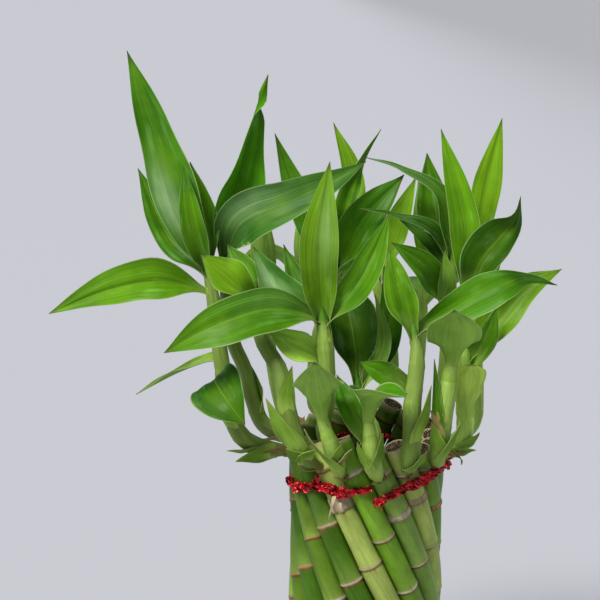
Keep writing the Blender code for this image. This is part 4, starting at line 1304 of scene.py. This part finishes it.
def build_shoots():
    """Every leafy shoot: a piece for its stem, one for its leaves, one for its dry scales."""
    upper = leaf_material("leaf_upper", UPPER_SIDE)
    lower = leaf_material("leaf_lower", UNDERSIDE)
    scaly = leaf_material("green_scale", UNDERSIDE, 0.15)
    skin = stem_material()
    paper = paper_material("dry_sheath")
    for number, plan in enumerate(SHOOTS):
        draw = random.Random(SHOOT_SEED + number)
        path, radii = stem_path(plan)
        length = path_length(path)
        name = plan["name"]
        stems, leaves, scales = Surface(), Surface(), Surface()
        rings_at = [length * share for share in STEM_RINGS]
        add_stem(stems, path, radii, draw.random(), rings_at, plan["shade"], plan["young"])
        for order, part in enumerate(plan["leaves"]):
            if "face" in part:
                add_leaf(leaves, part, path, radii, draw, order % 4, plan["shade"])
                continue
            base, tip = [seen(*p) for p in part["points"]]
            joint = nearest_place(path, base, 4)
            add_scale(leaves, path, radii, joint, tip, part["width"], part["tone"], draw)
        add_dry_scales(scales, path, radii, draw)
        stems.piece(name + "_stem", [skin], [name], "leaf_green")
        leaves.piece(name + "_leaves", [upper, lower, scaly], [name], "leaf_green")
        scales.piece(name + "_dry_scales", [paper], [name], "leaf_green")


def build_canes():
    """Every cane."""
    skin = cane_material()
    pith = pith_material()
    paper = paper_material("torn_sheath")
    for index in range(CANE_COUNT):
        surface = Surface()
        add_cane(surface, index)
        name = "cane_%02d" % (index + 1)
        surface.piece(name + "_skin", [skin, pith], [name], "cane_green", crease=60.0)
        if index in COLLARS:
            collar = Surface()
            add_collar(collar, index, *COLLARS[index])
            if index == SHRED_CANE:
                for shred in SHREDS:
                    add_shred(collar, **shred)
            collar.piece(name + "_collar", [paper], [name], "cane_green")


# Tie

FOIL_THREADS = 5
FOIL_TINT = (0.6, 0.02, 0.03, 0.5)
TUFT_SEED = 60
KNOT_SEED = 80
STRANDS = (
    dict(seed=1, wide=2.6, line=((-182, 0.0), (-130, -2.0, -1.0), (-117, -3.5, -2.0),
                                 (-107, -4.5, -8.0), (-97, -5.0, -14.5), (-87, -5.2, -10.0),
                                 (-81, -5.0, -3.0), (-75, -4.2, -0.3),
                                 (-63, -3.4), (-53, -2.4), (-40, 0.8), (-28, 0.5), (-15, 0.0),
                                 (-8, 1.5), (1, 2.7))),
    dict(seed=2, wide=2.2, line=((-182, 1.0), (-130, -2.0, -1.2), (-117, -3.0, -2.0),
                                 (-107, -4.0, -8.0), (-97, -4.0, -14.5), (-87, -4.2, -10.0),
                                 (-80, -3.6, -2.6), (-60, -2.0), (-48, 0.5), (-32, 2.0),
                                 (-22, -1.5), (-12, 0.8), (-2, 2.0))),
    dict(seed=3, wide=2.4, line=((-42, 2.0), (-30, 2.4), (-22, 1.6), (-14, 0.2))),
    dict(seed=4, wide=2.6, line=((5, -3.6), (10, -2.2), (17, 0.0), (24, 2.3), (32, 2.8),
                                 (40, 3.8), (53, 5.3), (70, 4.0), (86, 2.0), (120, 0.5),
                                 (178, 0.0))),
    dict(seed=5, wide=2.3, line=((6, -2.6), (14, -0.8), (24, 1.0), (36, 4.4), (46, 3.4),
                                 (58, 5.0), (86, 2.8), (120, 0.0), (178, 1.0))),
    dict(seed=6, wide=2.5, line=((26, 3.4), (34, 1.6), (42, 4.6), (48, 2.8))),
    dict(seed=7, wide=2.0, inner=12.6, line=((148, 1.0), (160, 2.6), (172, 4.4), (184, 1.5),
                                             (198, 3.0), (212, 2.0))),
)
TUFTS = ((-37, 2.0, 6.5), (-35, 1.5, 4.0), (-66, -1.0, 3.5), (-61, -3.6, -3.0), (8, -4.0, -3.0),
         (45, 4.5, 3.5), (86, 2.5, 3.0), (-20, 1.0, 3.0), (30, 2.5, 3.2), (150, 1.0, 3.5))
KNOTS = ((-54, -2.0, 1.7), (4.5, -3.4, 1.9), (-26, 1.2, 2.0), (41, 3.0, 2.2))


def tie_point(angle, rise, out=0.0):
    """A place on the tie's line, with the angle in degrees."""
    turn = math.radians(angle)
    return ring_point(turn, TIE_RADIUS + out, tie_height(turn) + rise)


def add_foil(surface, path, wide, draw):
    """A thin crinkled ribbon of foil along a path."""
    along = tangents(path)
    twist = draw.uniform(0.0, math.pi)
    rings = []
    for i, (point, direction) in enumerate(zip(path, along)):
        side = direction.orthogonal().normalized()
        other = direction.cross(side)
        twist += draw.uniform(-0.15, 0.75)
        flat = turned(side, other, twist)
        deep = direction.cross(flat)
        half = 0.5 * wide * draw.uniform(0.7, 1.15)
        crease = draw.uniform(-0.35, 0.35)
        ring = []
        for a, b in ((-1.0, 0.0), (0.0, crease), (1.0, 0.05), (1.0, 0.22), (0.0, crease + 0.2),
                     (-1.0, 0.18)):
            ring.append((point + flat * half * a + deep * b * half,
                         (a, i / len(path)), FOIL_TINT))
        rings.append(ring)
    first = surface.skin(rings)
    size = len(rings[0])
    for ring, end in ((0, path[0] - along[0] * 0.4), (len(rings) - 1, path[-1] + along[-1] * 0.4)):
        surface.fan(first + ring * size, size, (end, (0.0, 0.0), FOIL_TINT))


def add_rope(surface, line, wide, draw):
    """Several ribbons of foil that wind loosely round one line."""
    count = max(int(path_length(line) / 0.7), 8)
    path = smooth_curve(line, count)
    along = tangents(path)
    for thread in range(FOIL_THREADS):
        start = 2.0 * math.pi * thread / FOIL_THREADS + draw.uniform(-0.4, 0.4)
        pitch = draw.uniform(0.18, 0.34)
        route = []
        for i, (point, direction) in enumerate(zip(path, along)):
            out = flat_to(Vector((point.x, point.y, 0.0)), direction).normalized()
            turn = start + pitch * i
            swing = 0.42 * wide * (0.7 + 0.6 * draw.random())
            route.append(point + (out * math.cos(turn) * 0.7
                                  + direction.cross(out) * math.sin(turn)) * swing)
        add_foil(surface, route, 0.74 * wide, draw)


def build_tie():
    """The foil tie: twisted strands round the canes, with knots and stray ends."""
    surface = Surface()
    for strand in STRANDS:
        draw = random.Random(strand["seed"])
        inner = strand.get("inner", 0.0)
        line = [tie_point(angle, rise, draw.uniform(-0.3, 0.6) - inner + sum(pull))
                for angle, rise, *pull in strand["line"]]
        add_rope(surface, line, strand["wide"], draw)
    for number, (angle, rise, reach) in enumerate(TUFTS):
        draw = random.Random(TUFT_SEED + number)
        start = tie_point(angle, rise)
        tip = tie_point(angle + draw.uniform(-3.0, 3.0), rise + reach, draw.uniform(0.5, 2.0))
        middle = start.lerp(tip, 0.5) + ring_point(math.radians(angle), 0.8, 0.0)
        add_foil(surface, smooth_curve([start, middle, tip], 7), 1.3, draw)
    for number, (angle, rise, size) in enumerate(KNOTS):
        draw = random.Random(KNOT_SEED + number)
        centre = tie_point(angle, rise, 0.6)
        loops = [centre + Vector([draw.uniform(-size, size) for _ in range(3)])
                 for _ in range(9)]
        add_foil(surface, smooth_curve(loops, 40), 1.6, draw)
    surface.piece("tie_foil", [foil_material()], ["tie"], "red_foil", smooth=False)


# Bowl and pebbles

GLAZE_TINT = (0.8, 0.8, 0.8, 0.5)


def bowl_wall(share):
    """Outer radius and height of the bowl's wall at a share of its height."""
    swell = math.sin(0.5 * math.pi * share) ** BOWL_SWELL
    return BOWL_FOOT_RADIUS + (BOWL_RADIUS - BOWL_FOOT_RADIUS) * swell, BOWL_HEIGHT * share


def build_bowl():
    """A turned bowl with a rounded rim and a bare foot."""
    outer = [bowl_wall(share) for share in BOWL_ROWS]
    lip = 0.5 * BOWL_WALL
    rim = []
    for k in range(RIM_STEPS + 1):
        turn = math.pi * k / RIM_STEPS
        rim.append((BOWL_RADIUS - lip + lip * math.cos(turn),
                    BOWL_HEIGHT - lip + lip * math.sin(turn)))
    inner = [(r - BOWL_WALL, max(h, BOWL_FLOOR)) for r, h in reversed(outer[3:-1])]
    foot = [(BOWL_FOOT_RADIUS - 6.0, 0.8), (BOWL_FOOT_RADIUS - 5.0, 0.0),
            (BOWL_FOOT_RADIUS - 0.6, 0.0), (BOWL_FOOT_RADIUS, 0.5)]
    profile = foot + outer + rim + inner
    rings = []
    for radius, height in profile:
        ring = []
        for i, turn in round_turns(BOWL_SIDES):
            wobble = 0.12 * noise.noise(Vector((math.cos(turn), math.sin(turn), height * 0.05)))
            ring.append((ring_point(turn, radius + wobble * (height > 1.0), height),
                         (i / BOWL_SIDES, height), GLAZE_TINT))
        rings.append(ring)
    surface = Surface()
    first = surface.skin(rings[:5], slot=1)
    surface.fan(first, BOWL_SIDES, (Vector((0.0, 0.0, 0.8)), (0.0, 0.0), GLAZE_TINT), slot=1)
    first = surface.skin(rings[4:])
    last = first + (len(rings) - 5) * BOWL_SIDES
    surface.fan(last, BOWL_SIDES, (Vector((0.0, 0.0, BOWL_FLOOR)), (0.0, 0.0), GLAZE_TINT))
    surface.piece("bowl_glazed", [glaze_material(), bisque_material()], ["bowl"], "white_glaze")


def stone_shape():
    """Points and faces of a round stone of radius 1."""
    body = bmesh.new()
    bmesh.ops.create_icosphere(body, subdivisions=3, radius=1.0)
    points = [v.co.copy() for v in body.verts]
    faces = [tuple(v.index for v in face.verts) for face in body.faces]
    body.free()
    return points, faces


def add_stone(surface, shape, centre, sizes, turn, tone, own):
    """One worn pebble."""
    points, faces = shape
    first = len(surface.points)
    spin = Matrix.Rotation(turn, 3, "Z")
    for point in points:
        dent = 1.0 + 0.16 * noise.noise(point * 1.1 + Vector((own * 40.0, 0.0, 0.0)))
        spot = spin @ Vector([p * s * dent for p, s in zip(point, sizes)])
        place = (0.5 + 0.5 * point.x, 0.5 + 0.5 * point.y)
        surface.add_point(centre + spot, place, (*tone, own))
    for face in faces:
        surface.add_face(tuple(first + i for i in face))


def add_pebble(surface, shape, feet, line, place, layer):
    """One pebble of a layer, if there is room for it between the canes and the bowl's wall."""
    drop, pitch = PEBBLE_LAYERS[layer]
    draw = random.Random((line + 50) * 1000 + place + 50 + 7 * layer)
    px = place + 0.5 * (line % 2) + draw.uniform(-PEBBLE_JITTER, PEBBLE_JITTER)
    py = line + draw.uniform(-PEBBLE_JITTER, PEBBLE_JITTER)
    centre = Vector((px * PEBBLE_PITCH * pitch, py * PEBBLE_ROW_PITCH * pitch, 0.0))
    wide = STONE_RADIUS * pitch * draw.uniform(0.85, 1.1)
    brim = bowl_wall(BED_HEIGHT / BOWL_HEIGHT)[0] - BOWL_WALL
    room = brim - math.hypot(centre.x, centre.y) - 0.5
    gap = min(math.hypot(centre.x - foot.x, centre.y - foot.y) for foot in feet)
    if room < 3.0 or gap < CANE_SKIN_RADIUS + 2.4:
        return
    wide = min(wide, room, gap - CANE_SKIN_RADIUS + 0.4)
    centre.z = BED_HEIGHT + 1.0 - 0.55 * wide - drop + draw.uniform(-1.0, 1.4)
    tone = scale_colour(draw.choice(STONE_TONES), draw.uniform(0.8, 1.15))
    sizes = (wide, wide * draw.uniform(0.75, 0.95), wide * draw.uniform(0.5, 0.65))
    add_stone(surface, shape, centre, sizes, draw.uniform(0.0, math.pi), tone, draw.random())


def build_pebbles():
    """The pebbles round the canes: a top layer of large stones over smaller ones."""
    surface = Surface()
    shape = stone_shape()
    feet = [cane_point(index, BED_HEIGHT) for index in range(CANE_COUNT)]
    for layer in range(len(PEBBLE_LAYERS)):
        for line in range(-PEBBLE_LINES, PEBBLE_LINES + 1):
            for place in range(-PEBBLE_LINES, PEBBLE_LINES + 1):
                add_pebble(surface, shape, feet, line, place, layer)
    surface.piece("pebble_stones", [stone_material()], ["pebbles"], "pebble_stone")


# Stage

FLOOR_REACH = 30.0
FLOOR_DROP = 0.0005
SKY_STRENGTH = 0.30
LIGHTS = (
    dict(name="key", place=(-0.55, -0.50, 1.00), angle=24.0, power=3.45, tint=(1.0, 0.98, 0.94)),
    dict(name="rim", place=(0.7, 0.8, 0.9), angle=50.0, power=0.5, tint=(0.95, 0.98, 1.0)),
)


def floor_material():
    """A matt, pale floor, faintly uneven, with painted shade far off to the right."""
    shade = Shade("pale_floor", Specular_IOR_Level=0.1)
    where = shade.where()
    clouds = shade.noise(where, 1.5)
    colour = shade.mix(shade.math("MULTIPLY", clouds, 0.15), FLOOR_TONE,
                       scale_colour(FLOOR_TONE, 0.9))
    aside = shade.node("SeparateXYZ", {0: where}).outputs[0]
    # Painted shade: the floor grows darker far off to the right.
    colour = shade.mix(shade.rise(aside, 0.3, 1.5), colour, scale_colour(FLOOR_TONE, 0.76))
    return shade.finish(colour, shade.total(0.8, (clouds, 0.1)))


def add_light(name, place, angle, power, tint):
    """A soft sun that shines from a place towards the axis."""
    light = bpy.data.lights.new(name, "SUN")
    light.angle = math.radians(angle)
    light.energy = power
    light.color = tint
    lamp = bpy.data.objects.new(name, light)
    lamp.location = place
    lamp.rotation_euler = (-Vector(place)).to_track_quat("-Z", "Y").to_euler()
    bpy.context.scene.collection.objects.link(lamp)


def build_stage():
    """A wide pale floor, soft lights and an even sky."""
    mesh = bpy.data.meshes.new("floor")
    corners = [(FLOOR_REACH * x, FLOOR_REACH * y, 0.0)
               for x, y in ((-1.0, -1.0), (1.0, -1.0), (1.0, 1.0), (-1.0, 1.0))]
    mesh.from_pydata(corners, [], [(0, 1, 2, 3)])
    mesh.materials.append(floor_material())
    floor = bpy.data.objects.new("floor", mesh)
    floor.location.z = -FLOOR_DROP
    bpy.context.scene.collection.objects.link(floor)
    world = bpy.data.worlds.new("soft_sky")
    world.use_nodes = True
    background = world.node_tree.nodes["Background"]
    background.inputs[0].default_value = (*SKY_TONE, 1.0)
    background.inputs[1].default_value = SKY_STRENGTH
    bpy.context.scene.world = world
    for light in LIGHTS:
        add_light(**light)


def build_camera():
    """The camera at the front view's distance, pitch and aim."""
    camera = bpy.data.objects.new("camera", bpy.data.cameras.new("camera"))
    place = Matrix((SIGHT_RIGHT, SIGHT_UPWARD, -SIGHT_FORWARD)).transposed().to_4x4()
    place.translation = SIGHT_EYE * MM
    camera.matrix_world = place
    camera.data.sensor_width = SENSOR_WIDTH
    camera.data.lens = SENSOR_WIDTH * FOCAL_PIXELS / PICTURE_PIXELS
    camera.data.clip_start = 0.01
    camera.data.clip_end = 100.0
    bpy.context.scene.collection.objects.link(camera)
    bpy.context.scene.camera = camera


build_canes()
build_shoots()
build_tie()
build_bowl()
build_pebbles()
build_stage()
build_camera()
bpy.context.scene.view_settings.view_transform = "Standard"
